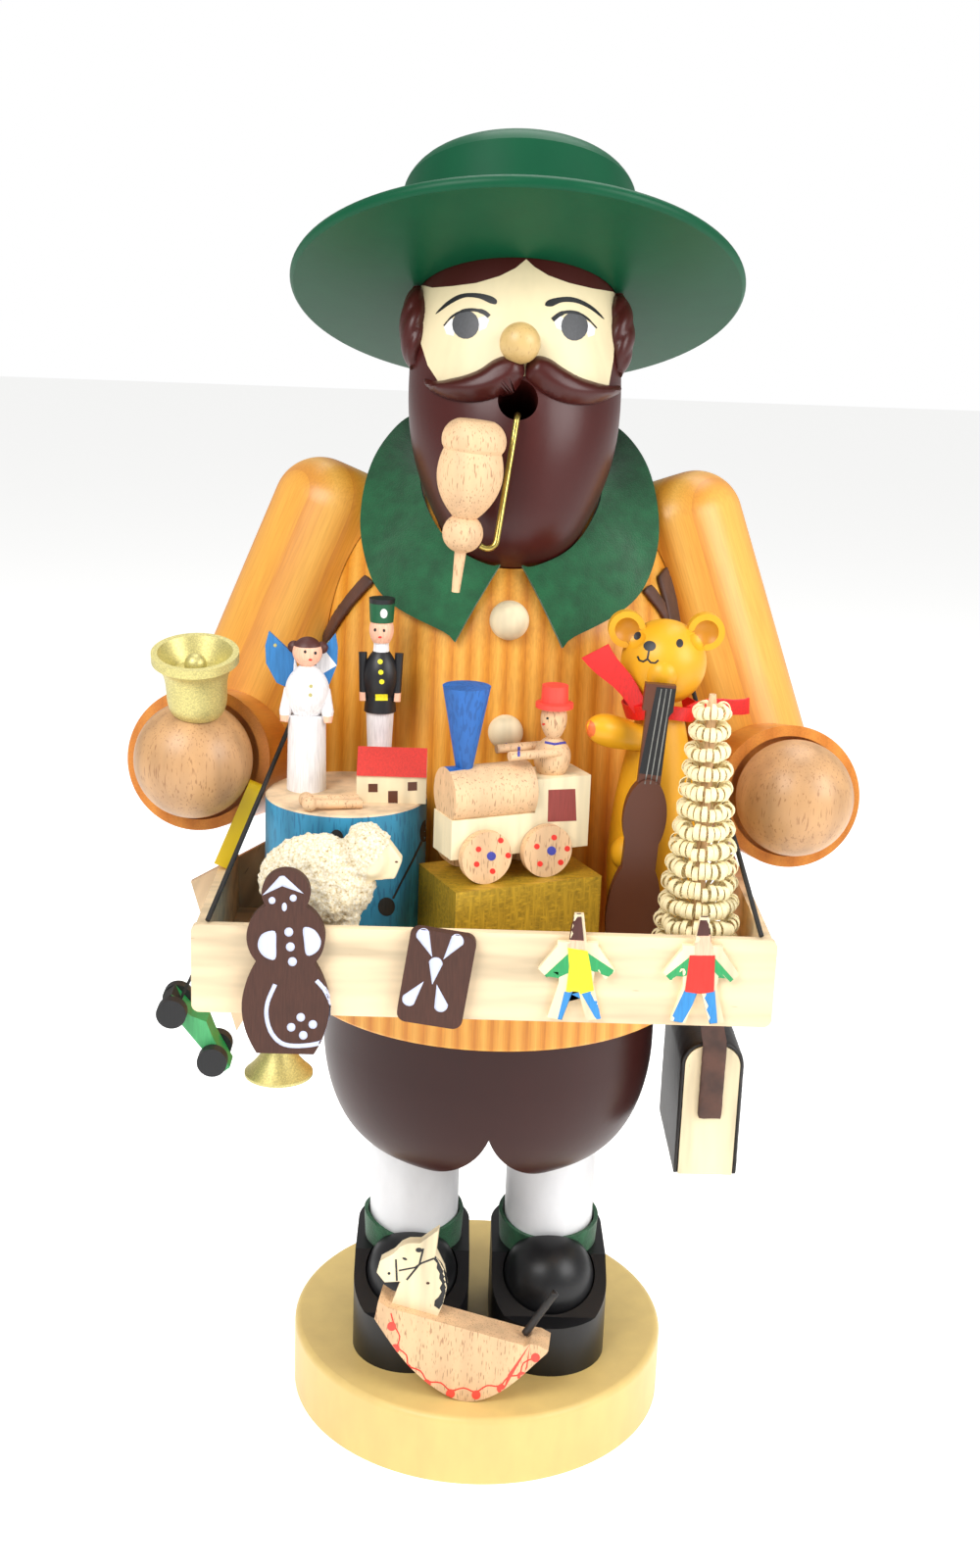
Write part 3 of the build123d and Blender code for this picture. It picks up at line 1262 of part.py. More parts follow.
# Trumpet that hangs bell down below the tray
with BuildPart() as trumpet:
    trumpet_top_z = tray_bottom_z - glue_gap
    trumpet_low_z = trumpet_top_z - trumpet_length
    with BuildSketch(Plane(origin=(trumpet_x, trumpet_y, trumpet_low_z), x_dir=(1, 0, 0), z_dir=(0, -1, 0))):
        with BuildLine():
            Line((trumpet_mouth_radius, 0), (trumpet_mouth_radius, trumpet_wall))
            Spline((trumpet_mouth_radius, trumpet_wall), (trumpet_mouth_radius * 0.42, trumpet_flare * 0.55), (trumpet_tube_radius, trumpet_flare * 1.4))
            Polyline((trumpet_tube_radius, trumpet_flare * 1.4), (trumpet_tube_radius, trumpet_length), (0, trumpet_length), (0, trumpet_flare))
            Spline((0, trumpet_flare), (trumpet_mouth_radius * 0.38, trumpet_flare * 0.45), (trumpet_mouth_radius, 0))
        make_face()
    revolve(axis=Axis((trumpet_x, trumpet_y, 0), (0, 0, 1)))
trumpet.part.label = "trumpet"
export_step(trumpet.part, "parts/trumpet.step")

# Painted ribbon round the teddy's neck, its two ends standing out
scarf_middle = (teddy_x, teddy_y, scarf_z)
with BuildPart() as teddy_scarf:
    with BuildSketch(Plane.XY.offset(scarf_z)):
        with Locations((teddy_x, teddy_y)):
            Circle(scarf_radius + scarf_thickness)
            Circle(scarf_radius, mode=Mode.SUBTRACT)
    extrude(amount=scarf_height)
    for side, way, length in ((-1, (-0.62, -0.10, 0.78), scarf_left_tail), (1, (0.98, 0.14, 0.16), scarf_right_tail)):
        root = (teddy_x + side * scarf_radius * 0.74, teddy_y - scarf_radius * 0.74, scarf_z + scarf_height / 2)
        tail_plane = lathe_plane(root, way, across=(0.2, -0.98, 0))
        with BuildSketch(Plane(origin=root, x_dir=tail_plane.x_dir, z_dir=way)):
            Rectangle(scarf_thickness, scarf_height)
        extrude(amount=length)
teddy_scarf.part.label = "teddy_scarf"
export_step(teddy_scarf.part, "parts/teddy_scarf.step")

# Lacquered toy skittle that leans between the tray's end and the drum
with BuildPart() as skittle:
    skittle_foot = (tray_left + end_inset + board / 2, skittle_y, tray_top_z + glue_gap + skittle_thickness / 4)
    with BuildSketch(lathe_plane(skittle_foot, (skittle_lean, 0, 1), across=(0, 1, 0))):
        RectangleRounded(skittle_width, skittle_length * 2, skittle_thickness * 0.4)
        with Locations((0, -skittle_length / 2)):
            Rectangle(skittle_width * 2, skittle_length, mode=Mode.SUBTRACT)
    extrude(amount=skittle_thickness / 2, both=True)
skittle.part.label = "skittle"
export_step(skittle.part, "parts/skittle.step")


def collar_prism(grow):
    """Block that holds the front collar's outline, grown downwards and sideways."""
    with BuildPart(mode=Mode.PRIVATE) as prism:
        with BuildSketch(Plane.XZ):
            with BuildLine():
                Polyline((0, collar_gap_z - grow), (collar_tip_x, collar_tip_z - grow), (collar_outer_x + grow, collar_edge_z - grow),
                         (collar_outer_x + grow, shoulder_top_z), (-collar_outer_x - grow, shoulder_top_z),
                         (-collar_outer_x - grow, collar_edge_z - grow), (-collar_tip_x, collar_tip_z - grow), close=True)
            make_face()
        extrude(amount=hem_radius + overrun)
    return prism.part


# Leather braces: one each side of the chest, from under the collar round to the arms
strap_bearing = math.radians(satchel_strap_bearing)
strap_out = (math.cos(strap_bearing), math.sin(strap_bearing), 0)
strap_across = (-math.sin(strap_bearing), math.cos(strap_bearing), 0)
with BuildPart() as braces:
    for side in (-1, 1):
        with BuildPart(mode=Mode.PRIVATE) as brace:
            add(jacket_shell(glue_gap, glue_gap + leather))
            with BuildSketch(Plane(origin=(side * brace_mid_x, brace_mid_y, brace_mid_z), z_dir=(side * 0.354, 0.684, 0.638))):
                Circle(hem_radius * 2)
            extrude(amount=brace_width / 2, both=True, mode=Mode.INTERSECT)
            with Locations((side * brace_mid_x, brace_mid_y, brace_mid_z)):
                Box(brace_reach, brace_reach, brace_reach, mode=Mode.INTERSECT)
            add(collar_prism(glue_gap), mode=Mode.SUBTRACT)
            for envelope in arm_envelopes:
                add(envelope, mode=Mode.SUBTRACT)
            if side > 0:
                with BuildSketch(Plane(origin=(0, 0, strap_leave_z), x_dir=strap_across, z_dir=(0, 0, 1))):
                    with Locations((brace_reach / 2 - satchel_strap_width / 2 - glue_gap, -hem_radius)):
                        Rectangle(brace_reach, 2 * hem_radius)
                extrude(amount=shoulder_top_z - strap_leave_z, mode=Mode.SUBTRACT)
        add(brace.part)
braces.part.label = "braces"
export_step(braces.part, "parts/braces.step")

# Satchel strap: the part that lies on the jacket
with BuildPart() as satchel_strap:
    add(jacket_shell(glue_gap, glue_gap + leather))
    with BuildSketch(Plane(origin=(0, 0, strap_leave_z), x_dir=strap_across, z_dir=(0, 0, 1))):
        with Locations((0, -hem_radius)):
            Rectangle(satchel_strap_width, 2 * hem_radius)
    extrude(amount=collar_edge_z - strap_leave_z, mode=Mode.INTERSECT)
    add(collar_prism(glue_gap), mode=Mode.SUBTRACT)
satchel_strap.part.label = "satchel_strap"
export_step(satchel_strap.part, "parts/satchel_strap.step")

# The strap's free run and its end on the satchel
hanger_radius = waist_radius + glue_gap + leather / 2
hanger_top = (strap_out[0] * hanger_radius, strap_out[1] * hanger_radius, strap_leave_z - strap_swing_gap)
strap_front_y = satchel_front_y - glue_gap - leather / 2
with BuildPart() as satchel_hanger:
    with BuildSketch(Plane(origin=hanger_top, x_dir=strap_across, z_dir=(0, 0, 1))):
        Rectangle(satchel_strap_width, leather)
    with BuildSketch(Plane(origin=(satchel_x, strap_front_y, satchel_top_z), x_dir=(1, 0, 0), z_dir=(0, 0, 1))):
        Rectangle(satchel_strap_width, leather)
    loft()
    with BuildSketch(Plane.XY.offset(strap_end_z)):
        with Locations((satchel_x, strap_front_y)):
            Rectangle(satchel_strap_width, leather)
    extrude(amount=satchel_top_z - strap_end_z)
satchel_hanger.part.label = "satchel_hanger"
export_step(satchel_hanger.part, "parts/satchel_hanger.step")


def satchel_outline(grow):
    """Front outline of the satchel with a rounded top, grown sideways and upwards."""
    half = satchel_width / 2 - satchel_leather + grow
    top = satchel_top_z - satchel_leather + grow
    bend = satchel_round + grow
    with BuildSketch(Plane.XZ.offset(-satchel_front_y)) as outline:
        with BuildLine():
            Polyline((satchel_x - half, top - bend), (satchel_x - half, satchel_bottom_z),
                     (satchel_x + half, satchel_bottom_z), (satchel_x + half, top - bend))
            quarter = bend * (1 - math.sqrt(0.5))
            ThreePointArc((satchel_x + half, top - bend), (satchel_x + half - quarter, top - quarter), (satchel_x + half - bend, top))
            Line((satchel_x + half - bend, top), (satchel_x - half + bend, top))
            ThreePointArc((satchel_x - half + bend, top), (satchel_x - half + quarter, top - quarter), (satchel_x - half, top - bend))
        make_face()
    return outline.sketch


# Satchel: a wooden block with leather round its sides and top
with BuildPart() as satchel:
    add(satchel_outline(0))
    extrude(amount=satchel_depth, dir=(0, 1, 0))
satchel.part.label = "satchel"
export_step(satchel.part, "parts/satchel.step")

with BuildPart() as satchel_wrap:
    add(satchel_outline(satchel_leather))
    extrude(amount=satchel_depth, dir=(0, 1, 0))
    with BuildPart(mode=Mode.SUBTRACT):
        add(satchel_outline(fit_gap))
        extrude(amount=satchel_depth, dir=(0, 1, 0))
satchel_wrap.part.label = "satchel_wrap"
export_step(satchel_wrap.part, "parts/satchel_wrap.step")

# Taut cords from the tray's front corners up to the creases between trunk and arms
cord_start_z = tray_top_z + tray_cord_radius + fit_gap * 2
with BuildPart() as tray_cords:
    for start, end in (((tray_left + cord_inset, tray_front_y + board / 2, cord_start_z), left_cord_end),
                       ((tray_right - cord_inset, tray_front_y + board / 2, cord_start_z), right_cord_end)):
        way = Vector(*end) - Vector(*start)
        with BuildSketch(Plane(origin=start, z_dir=way)):
            Circle(tray_cord_radius)
        extrude(amount=way.length)
tray_cords.part.label = "tray_cords"
export_step(tray_cords.part, "parts/tray_cords.step")

# Rocking horse that lies against the shoes: rocker block, flat head and leather tail
turned = math.radians(rocker_turn)
rocker_back = (math.sin(turned), math.cos(turned), 0)
rocker_along = (math.cos(turned), -math.sin(turned), 0)
rocker_front = (rocker_x, rocker_front_y, base_height + fit_gap * 2)
rocker_middle = tuple(a + b * rocker_thickness / 2 for a, b in zip(rocker_front, rocker_back))
with BuildPart() as rocker:
    with BuildSketch(Plane(origin=rocker_middle, x_dir=rocker_along, z_dir=tuple(-b for b in rocker_back))):
        with BuildLine():
            Spline(*[(x * rocker_width, y * rocker_width) for x, y in rocker_bottom_shares])
            Polyline(*[(x * rocker_width, y * rocker_width) for x, y in rocker_top_shares])
        make_face()
    extrude(amount=rocker_thickness / 2, both=True)
rocker.part.label = "rocker"
export_step(rocker.part, "parts/rocker.step")

with BuildPart() as horse_head:
    with BuildSketch(Plane(origin=rocker_middle, x_dir=rocker_along, z_dir=tuple(-b for b in rocker_back))):
        with BuildLine():
            Polyline(*[(x * rocker_width, y * rocker_width) for x, y in horse_shares], close=True)
        make_face()
    extrude(amount=horse_thickness / 2, both=True)
    add(rocker.part, mode=Mode.SUBTRACT)
horse_head.part.label = "horse_head"
export_step(horse_head.part, "parts/horse_head.step")

with BuildPart() as horse_tail:
    tail_root = tuple(m + a * tail_root_share[0] * rocker_width for m, a in zip(rocker_middle, rocker_along))
    tail_root = (tail_root[0], tail_root[1], rocker_middle[2] + tail_root_share[1] * rocker_width + tail_radius / 2)
    with BuildSketch(Plane(origin=tail_root, z_dir=(rocker_along[0] * tail_lean_share, rocker_along[1] * tail_lean_share, 1))):
        Circle(tail_radius)
    extrude(amount=tail_length)
    add(rocker.part, mode=Mode.SUBTRACT)
horse_tail.part.label = "horse_tail"
export_step(horse_tail.part, "parts/horse_tail.step")

# Pipe: turned in one piece, with lid, bowl, ball and mouthpiece-like tail
pipe_foot = (pipe_x, pipe_y, pipe_z)
pipe_way = (pipe_lean, 0, 1)
ball_rise = pipe_tail + ball_radius * 0.85
bowl_low = ball_rise + ball_radius * 0.86
bowl_top = bowl_low + bowl_height
with BuildPart() as pipe_bowl:
    with BuildSketch(lathe_plane(pipe_foot, pipe_way)):
        with BuildLine():
            Polyline((0, 0), (pipe_tip_radius, 0), (pipe_neck_radius, pipe_tail))
            ThreePointArc((pipe_neck_radius, pipe_tail), (ball_radius, ball_rise), (pipe_waist_radius, bowl_low))
            Spline((pipe_waist_radius, bowl_low), (bowl_radius, bowl_low + bowl_height * 0.58), (cap_radius * 0.93, bowl_top))
            Line((cap_radius * 0.93, bowl_top), (cap_radius, bowl_top + cap_height * 0.12))
            ThreePointArc((cap_radius, bowl_top + cap_height * 0.12), (cap_radius * 0.93, bowl_top + cap_height * 0.72),
                          (cap_radius * 0.60, bowl_top + cap_height))
            Polyline((cap_radius * 0.60, bowl_top + cap_height), (0, bowl_top + cap_height), (0, 0))
        make_face()
    revolve(axis=turning_axis(pipe_foot, pipe_way))
pipe_bowl.part.label = "pipe_bowl"
export_step(pipe_bowl.part, "parts/pipe_bowl.step")

# Brass wire that carries the pipe from the mouth
ball_middle = Vector(*pipe_foot) + Vector(*pipe_way).normalized() * ball_rise
wire_corner = Vector(wire_low_x, pipe_y, wire_low_z)
wire_start = ball_middle + (wire_corner - ball_middle).normalized() * (ball_radius + fit_gap * 2)
lip_rise = -mouth_drop - mouth_radius + wire_radius + glue_gap
with BuildPart() as pipe_wire:
    with BuildLine() as wire_path:
        FilletPolyline(tuple(wire_start), tuple(wire_corner), head_point(0, head_radius + wire_radius * 1.5, lip_rise),
                       head_point(0, head_radius * 0.62, lip_rise), radius=wire_bend)
    with BuildSketch(Plane(origin=wire_path.line @ 0, z_dir=wire_path.line % 0)):
        Circle(wire_radius)
    sweep()
pipe_wire.part.label = "pipe_wire"
export_step(pipe_wire.part, "parts/pipe_wire.step")
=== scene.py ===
"""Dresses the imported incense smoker: the pedlar, the vendor's tray and every toy on it.

Metres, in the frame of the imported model. Millimetres and photo pixels are turned to metres in one place each.
"""

import json
import logging
import math
import random
from dataclasses import dataclass
from enum import Enum
from typing import Callable, Iterable, Sequence

import bmesh
import bpy
from mathutils import Matrix, Vector, noise
from mathutils.bvhtree import BVHTree
from mathutils.geometry import delaunay_2d_cdt

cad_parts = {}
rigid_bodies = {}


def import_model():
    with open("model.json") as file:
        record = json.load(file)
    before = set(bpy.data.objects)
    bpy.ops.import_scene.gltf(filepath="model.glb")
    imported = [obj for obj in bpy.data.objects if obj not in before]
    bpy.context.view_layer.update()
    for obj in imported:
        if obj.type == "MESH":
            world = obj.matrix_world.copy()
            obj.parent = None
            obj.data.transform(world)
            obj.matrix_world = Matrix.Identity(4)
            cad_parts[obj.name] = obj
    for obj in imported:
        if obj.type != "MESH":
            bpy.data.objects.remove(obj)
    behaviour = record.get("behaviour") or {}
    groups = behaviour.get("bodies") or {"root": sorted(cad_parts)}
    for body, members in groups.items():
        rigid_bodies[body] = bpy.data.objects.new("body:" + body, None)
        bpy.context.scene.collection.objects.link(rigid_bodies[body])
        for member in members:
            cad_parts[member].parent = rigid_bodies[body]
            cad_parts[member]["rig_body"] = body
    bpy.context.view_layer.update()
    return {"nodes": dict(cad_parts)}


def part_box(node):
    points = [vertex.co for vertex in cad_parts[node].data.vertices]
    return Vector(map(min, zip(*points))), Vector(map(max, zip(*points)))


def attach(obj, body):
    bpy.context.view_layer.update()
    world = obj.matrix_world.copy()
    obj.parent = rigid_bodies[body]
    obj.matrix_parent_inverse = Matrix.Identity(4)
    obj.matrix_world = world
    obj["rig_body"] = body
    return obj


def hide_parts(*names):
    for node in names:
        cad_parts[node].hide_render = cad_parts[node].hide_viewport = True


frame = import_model()
log = logging.getLogger("smoker")
Point = tuple[float, float]
MM = 0.001


def linear(hex_colour: str) -> tuple[float, float, float, float]:
    """Turns an sRGB hex colour into linear RGBA.

    Args:
        hex_colour: "#rrggbb".

    Returns:
        Linear red, green, blue and an alpha of one.
    """
    parts = [int(hex_colour[i : i + 2], 16) / 255 for i in (1, 3, 5)]
    return (*(c / 12.92 if c <= 0.04045 else ((c + 0.055) / 1.055) ** 2.4 for c in parts), 1.0)


def add_node(tree: bpy.types.NodeTree, kind: str, inputs: dict | None = None,
    **settings: object) -> bpy.types.Node:
    """Adds one shader node with its settings, values and links.

    Args:
        tree: The node tree that it goes into.
        kind: Blender's node type.
        inputs: Socket name or number to a plain value or to another node's output.
        settings: Attributes of the node.

    Returns:
        The new node.
    """
    made = tree.nodes.new(kind)
    for key, value in settings.items():
        setattr(made, key, value)
    for key, value in (inputs or {}).items():
        if isinstance(value, bpy.types.NodeSocket):
            tree.links.new(value, made.inputs[key])
        else:
            made.inputs[key].default_value = value
    return made


def ramp(tree: bpy.types.NodeTree, factor: bpy.types.NodeSocket,
    stops: Sequence[tuple[float, str]]) -> bpy.types.NodeSocket:
    """Colours a factor through stops of (place, sRGB hex), and returns the colour socket."""
    made = add_node(tree, "ShaderNodeValToRGB", {"Fac": factor})
    marks = made.color_ramp.elements
    while len(marks) < len(stops):
        marks.new(0.5)
    for mark, (place, colour) in zip(marks, stops):
        mark.position = place
        mark.color = linear(colour)
    return made.outputs["Color"]


def shades(hex_colour: str, low: float, high: float) -> tuple[str, str]:
    """Two shades of one sRGB colour, multiplied by low and by high."""
    parts = [int(hex_colour[i : i + 2], 16) for i in (1, 3, 5)]
    return tuple("#" + "".join(f"{min(255, round(c * k)):02x}" for c in parts) for k in (low, high))


UP = (0.0, 0.0, 1.0)


@dataclass(frozen=True)
class Finish:
    """One real finish. Subclasses colour it and give it its grain.

    Attributes:
        name: What it is, in a maker's words, and how its surface was made.
        colour: Its sRGB colour.
        roughness: The shader's roughness.
        grain: The direction that its grain runs in, where it has one.
    """

    name: str
    colour: str
    roughness: float = 0.5
    grain: tuple[float, float, float] = UP

    def material(self) -> bpy.types.Material:
        """The finished material, made once and shared."""
        found = bpy.data.materials.get(self.name)
        if found:
            return found
        made = bpy.data.materials.new(self.name)
        made.use_nodes = True
        tree = made.node_tree
        shader = tree.nodes["Principled BSDF"]
        shader.inputs["Base Color"].default_value = linear(self.colour)
        shader.inputs["Roughness"].default_value = self.roughness
        made.diffuse_color = linear(self.colour)
        self.surface(tree, shader)
        return made

    def surface(self, tree: bpy.types.NodeTree, shader: bpy.types.Node) -> None:
        """Adds the finish's own nodes. A plain finish has none."""

    def place(self, tree: bpy.types.NodeTree, size_mm: tuple[float, float, float]) -> bpy.types.NodeSocket:
        """Coordinates in pattern periods, with the third axis along the grain.

        Args:
            tree: The material's tree.
            size_mm: One period of the pattern across, across and along the grain, in mm.

        Returns:
            The vector socket.
        """
        turn = Vector(UP).rotation_difference(Vector(self.grain)).to_euler()
        where = add_node(tree, "ShaderNodeTexCoord").outputs["Object"]
        made = add_node(tree, "ShaderNodeMapping", {"Vector": where}, vector_type="TEXTURE")
        made.inputs["Rotation"].default_value = turn
        made.inputs["Scale"].default_value = [s * MM for s in size_mm]
        return made.outputs["Vector"]

    def noise(self, tree: bpy.types.NodeTree, size_mm: tuple[float, float, float],
        detail: float = 3.0) -> bpy.types.NodeSocket:
        """Noise whose blotches have a real size in mm, as a factor socket."""
        return add_node(tree, "ShaderNodeTexNoise", {"Vector": self.place(tree, size_mm), "Scale": 1.0,
            "Detail": detail}).outputs["Fac"]

    def relief(self, tree: bpy.types.NodeTree, shader: bpy.types.Node, height: bpy.types.NodeSocket,
        depth_mm: float, strength: float = 1.0) -> None:
        """Presses a height pattern into the surface, depth_mm deep."""
        made = add_node(tree, "ShaderNodeBump", {"Height": height, "Distance": depth_mm * MM,
            "Strength": strength})
        tree.links.new(made.outputs["Normal"], shader.inputs["Normal"])

    def vary(self, tree: bpy.types.NodeTree, shader: bpy.types.Node, factor: bpy.types.NodeSocket, low: float,
        high: float) -> None:
        """Colours the surface between two shades of its own colour by a factor."""
        dark, light = shades(self.colour, low, high)
        tree.links.new(ramp(tree, factor, ((0.3, dark), (0.7, light))), shader.inputs["Base Color"])


@dataclass(frozen=True)
class Lacquer(Finish):
    """Sprayed satin lacquer on turned wood: even colour, a soft sheen and a faint orange peel."""

    coat: float = 0.12
    specular: float = 0.35

    def surface(self, tree: bpy.types.NodeTree, shader: bpy.types.Node) -> None:
        """Faint cloudy colour, and a peel of 1.5 mm, drawn coarser than life to show."""
        self.vary(tree, shader, self.noise(tree, (9.0, 9.0, 22.0)), 0.98, 1.02)
        self.relief(tree, shader, self.noise(tree, (1.5, 1.5, 2.5), 2.0), 0.03, 0.5)
        shader.inputs["Specular IOR Level"].default_value = self.specular
        shader.inputs["Coat Weight"].default_value = self.coat
        shader.inputs["Coat Roughness"].default_value = 0.3


@dataclass(frozen=True)
class BandedPine(Finish):
    """Stained and varnished pine: light early wood and darker late wood in steady growth bands."""

    dark: str = "#d08020"
    light: str = "#f0b24c"
    band_mm: float = 6.2
    gloss: float = 0.15

    def surface(self, tree: bpy.types.NodeTree, shader: bpy.types.Node) -> None:
        """Growth bands across the front, late wood sharp on one side, with fine fibre over them."""
        where = self.place(tree, (self.band_mm, self.band_mm * 6, self.band_mm * 30))
        bands = add_node(tree, "ShaderNodeTexWave", {"Vector": where, "Scale": 0.314, "Distortion": 1.6,
            "Detail": 2.0, "Detail Scale": 0.8}, wave_profile="SAW")
        wood = ramp(tree, bands.outputs["Fac"], ((0.0, self.colour), (0.45, self.light), (0.8, self.colour),
            (1.0, self.dark)))
        fibre = ramp(tree, self.noise(tree, (0.5, 0.5, 14.0), 4.0), ((0.35, "#e2d6c8"), (0.62, "#ffffff")))
        mixed = add_node(tree, "ShaderNodeMix", {"Factor": 0.55}, data_type="RGBA", blend_type="MULTIPLY")
        tree.links.new(wood, mixed.inputs["A"])
        tree.links.new(fibre, mixed.inputs["B"])
        tree.links.new(mixed.outputs["Result"], shader.inputs["Base Color"])
        self.relief(tree, shader, bands.outputs["Fac"], 0.03, 0.3)
        shader.inputs["Coat Weight"].default_value = self.gloss
        shader.inputs["Coat Roughness"].default_value = 0.25


@dataclass(frozen=True)
class Beech(Finish):
    """Bare or clear-finished close-grained wood, with the short dark dashes of its rays along the grain."""

    fleck: str = "#8a5a34"
    fleck_mm: float = 0.8
    density: float = 0.66
    band_mm: float = 7.0
    coat: float = 0.0
    tone: tuple[float, float] = (0.86, 1.08)

    def surface(self, tree: bpy.types.NodeTree, shader: bpy.types.Node) -> None:
        """Slow bands of tone, fine fibre, and dashes 6 times as long as wide."""
        tone = self.noise(tree, (self.band_mm, self.band_mm, self.band_mm * 9), 2.0)
        dark, light = shades(self.colour, *self.tone)
        wood = ramp(tree, tone, ((0.3, dark), (0.5, self.colour), (0.7, light)))
        dashes = self.noise(tree, (self.fleck_mm, self.fleck_mm, self.fleck_mm * 7), 1.0)
        mask = ramp(tree, dashes, ((self.density, "#000000"), (self.density + 0.07, "#ffffff")))
        half = add_node(tree, "ShaderNodeMath", {0: mask, 1: 0.6}, operation="MULTIPLY").outputs[0]
        mixed = add_node(tree, "ShaderNodeMix", {"Factor": half}, data_type="RGBA")
        tree.links.new(wood, mixed.inputs["A"])
        mixed.inputs["B"].default_value = linear(self.fleck)
        tree.links.new(mixed.outputs["Result"], shader.inputs["Base Color"])
        self.relief(tree, shader, self.noise(tree, (0.5, 0.5, 9.0), 3.0), 0.04, 0.4)
        shader.inputs["Coat Weight"].default_value = self.coat
        shader.inputs["Coat Roughness"].default_value = 0.3


@dataclass(frozen=True)
class GoldPaint(Finish):
    """Bronze powder paint: a pale metal look with fine sparkle, and brushed or woven streaks where wide."""

    metal: float = 0.75
    streak_mm: float = 0.0

    def surface(self, tree: bpy.types.NodeTree, shader: bpy.types.Node) -> None:
        """Powder grain of 0.5 mm, and crossed streaks where streak_mm is set."""
        shader.inputs["Metallic"].default_value = self.metal
        grain = self.noise(tree, (0.5, 0.5, 0.5), 2.0)
        if self.streak_mm:
            thin, long = self.streak_mm, self.streak_mm * 9
            down = self.noise(tree, (thin, thin, long), 2.0)
            across = self.noise(tree, (long, thin, thin), 2.0)
            grain = add_node(tree, "ShaderNodeMath", {0: down, 1: across}, operation="MAXIMUM").outputs[0]
        self.vary(tree, shader, grain, 0.78 if self.streak_mm else 0.92, 1.14)
        self.relief(tree, shader, grain, 0.12 if self.streak_mm else 0.03, 0.6)


@dataclass(frozen=True)
class Felt(Finish):
    """Pressed wool felt: matt, with short matted fibres and a dusty sheen at its edges."""

    def surface(self, tree: bpy.types.NodeTree, shader: bpy.types.Node) -> None:
        """Matted fibres 0.5 mm across, drawn coarser than life to show, over slow cloudy tone."""
        fibres = self.noise(tree, (0.5, 0.9, 0.5), 6.0)
        clouds = self.noise(tree, (6.0, 6.0, 6.0), 2.0)
        both = add_node(tree, "ShaderNodeMath", {0: fibres, 1: clouds}, operation="MULTIPLY_ADD")
        tree.links.new(add_node(tree, "ShaderNodeMath", {0: clouds, 1: 0.5}, operation="MULTIPLY").outputs[0],
            both.inputs[2])
        self.vary(tree, shader, both.outputs[0], 0.86, 1.14)
        self.relief(tree, shader, fibres, 0.3, 0.8)
        shader.inputs["Sheen Weight"].default_value = 0.35
        shader.inputs["Sheen Roughness"].default_value = 0.5


@dataclass(frozen=True)
class Leather(Finish):
    """Thin smooth split leather with a fine pebble."""

    def surface(self, tree: bpy.types.NodeTree, shader: bpy.types.Node) -> None:
        """A pebble of 1 mm from rounded cells, and worn cloudy tone."""
        cells = add_node(tree, "ShaderNodeTexVoronoi", {"Vector": self.place(tree, (1.0, 1.0, 1.0)),
            "Scale": 1.0}).outputs["Distance"]
        self.vary(tree, shader, self.noise(tree, (8.0, 8.0, 8.0)), 0.8, 1.25)
        self.relief(tree, shader, cells, 0.08, 0.5)


@dataclass(frozen=True)
class Paint(Finish):
    """Brushed matt toy paint on small turned wood, with the fibre showing through faintly."""

    fibre: float = 0.06

    def surface(self, tree: bpy.types.NodeTree, shader: bpy.types.Node) -> None:
        """Fibre streaks 0.5 mm wide along the grain."""
        streaks = self.noise(tree, (0.5, 0.5, 6.0), 3.0)
        self.vary(tree, shader, streaks, 1 - self.fibre, 1 + self.fibre)
        self.relief(tree, shader, streaks, 0.03, 0.5)


@dataclass(frozen=True)
class Metal(Finish):
    """Drawn or rolled metal with fine lines along its length."""

    def surface(self, tree: bpy.types.NodeTree, shader: bpy.types.Node) -> None:
        """Draw lines 0.3 mm apart, and slow tarnish."""
        shader.inputs["Metallic"].default_value = 1.0
        self.vary(tree, shader, self.noise(tree, (3.0, 3.0, 5.0)), 0.85, 1.1)
        self.relief(tree, shader, self.noise(tree, (0.3, 0.3, 9.0)), 0.02, 0.5)


@dataclass(frozen=True)
class Flock(Finish):
    """Glued-on fleece crumbs: cream knots over a browner ground."""

    def surface(self, tree: bpy.types.NodeTree, shader: bpy.types.Node) -> None:
        """Crumbs 0.9 mm across with brown specks between them."""
        crumbs = add_node(tree, "ShaderNodeTexVoronoi", {"Vector": self.place(tree, (0.9, 0.9, 0.9)),
            "Scale": 1.0}).outputs["Distance"]
        fluff = self.noise(tree, (0.5, 0.5, 0.5), 5.0)
        both = add_node(tree, "ShaderNodeMath", {0: crumbs, 1: fluff}, operation="MULTIPLY").outputs[0]
        tree.links.new(ramp(tree, both, ((0.1, self.colour), (0.38, "#e2d0a6"), (0.55, "#a98a5c"))),
            shader.inputs["Base Color"])
        self.relief(tree, shader, fluff, 0.5, 0.9)
        shader.inputs["Sheen Weight"].default_value = 0.3


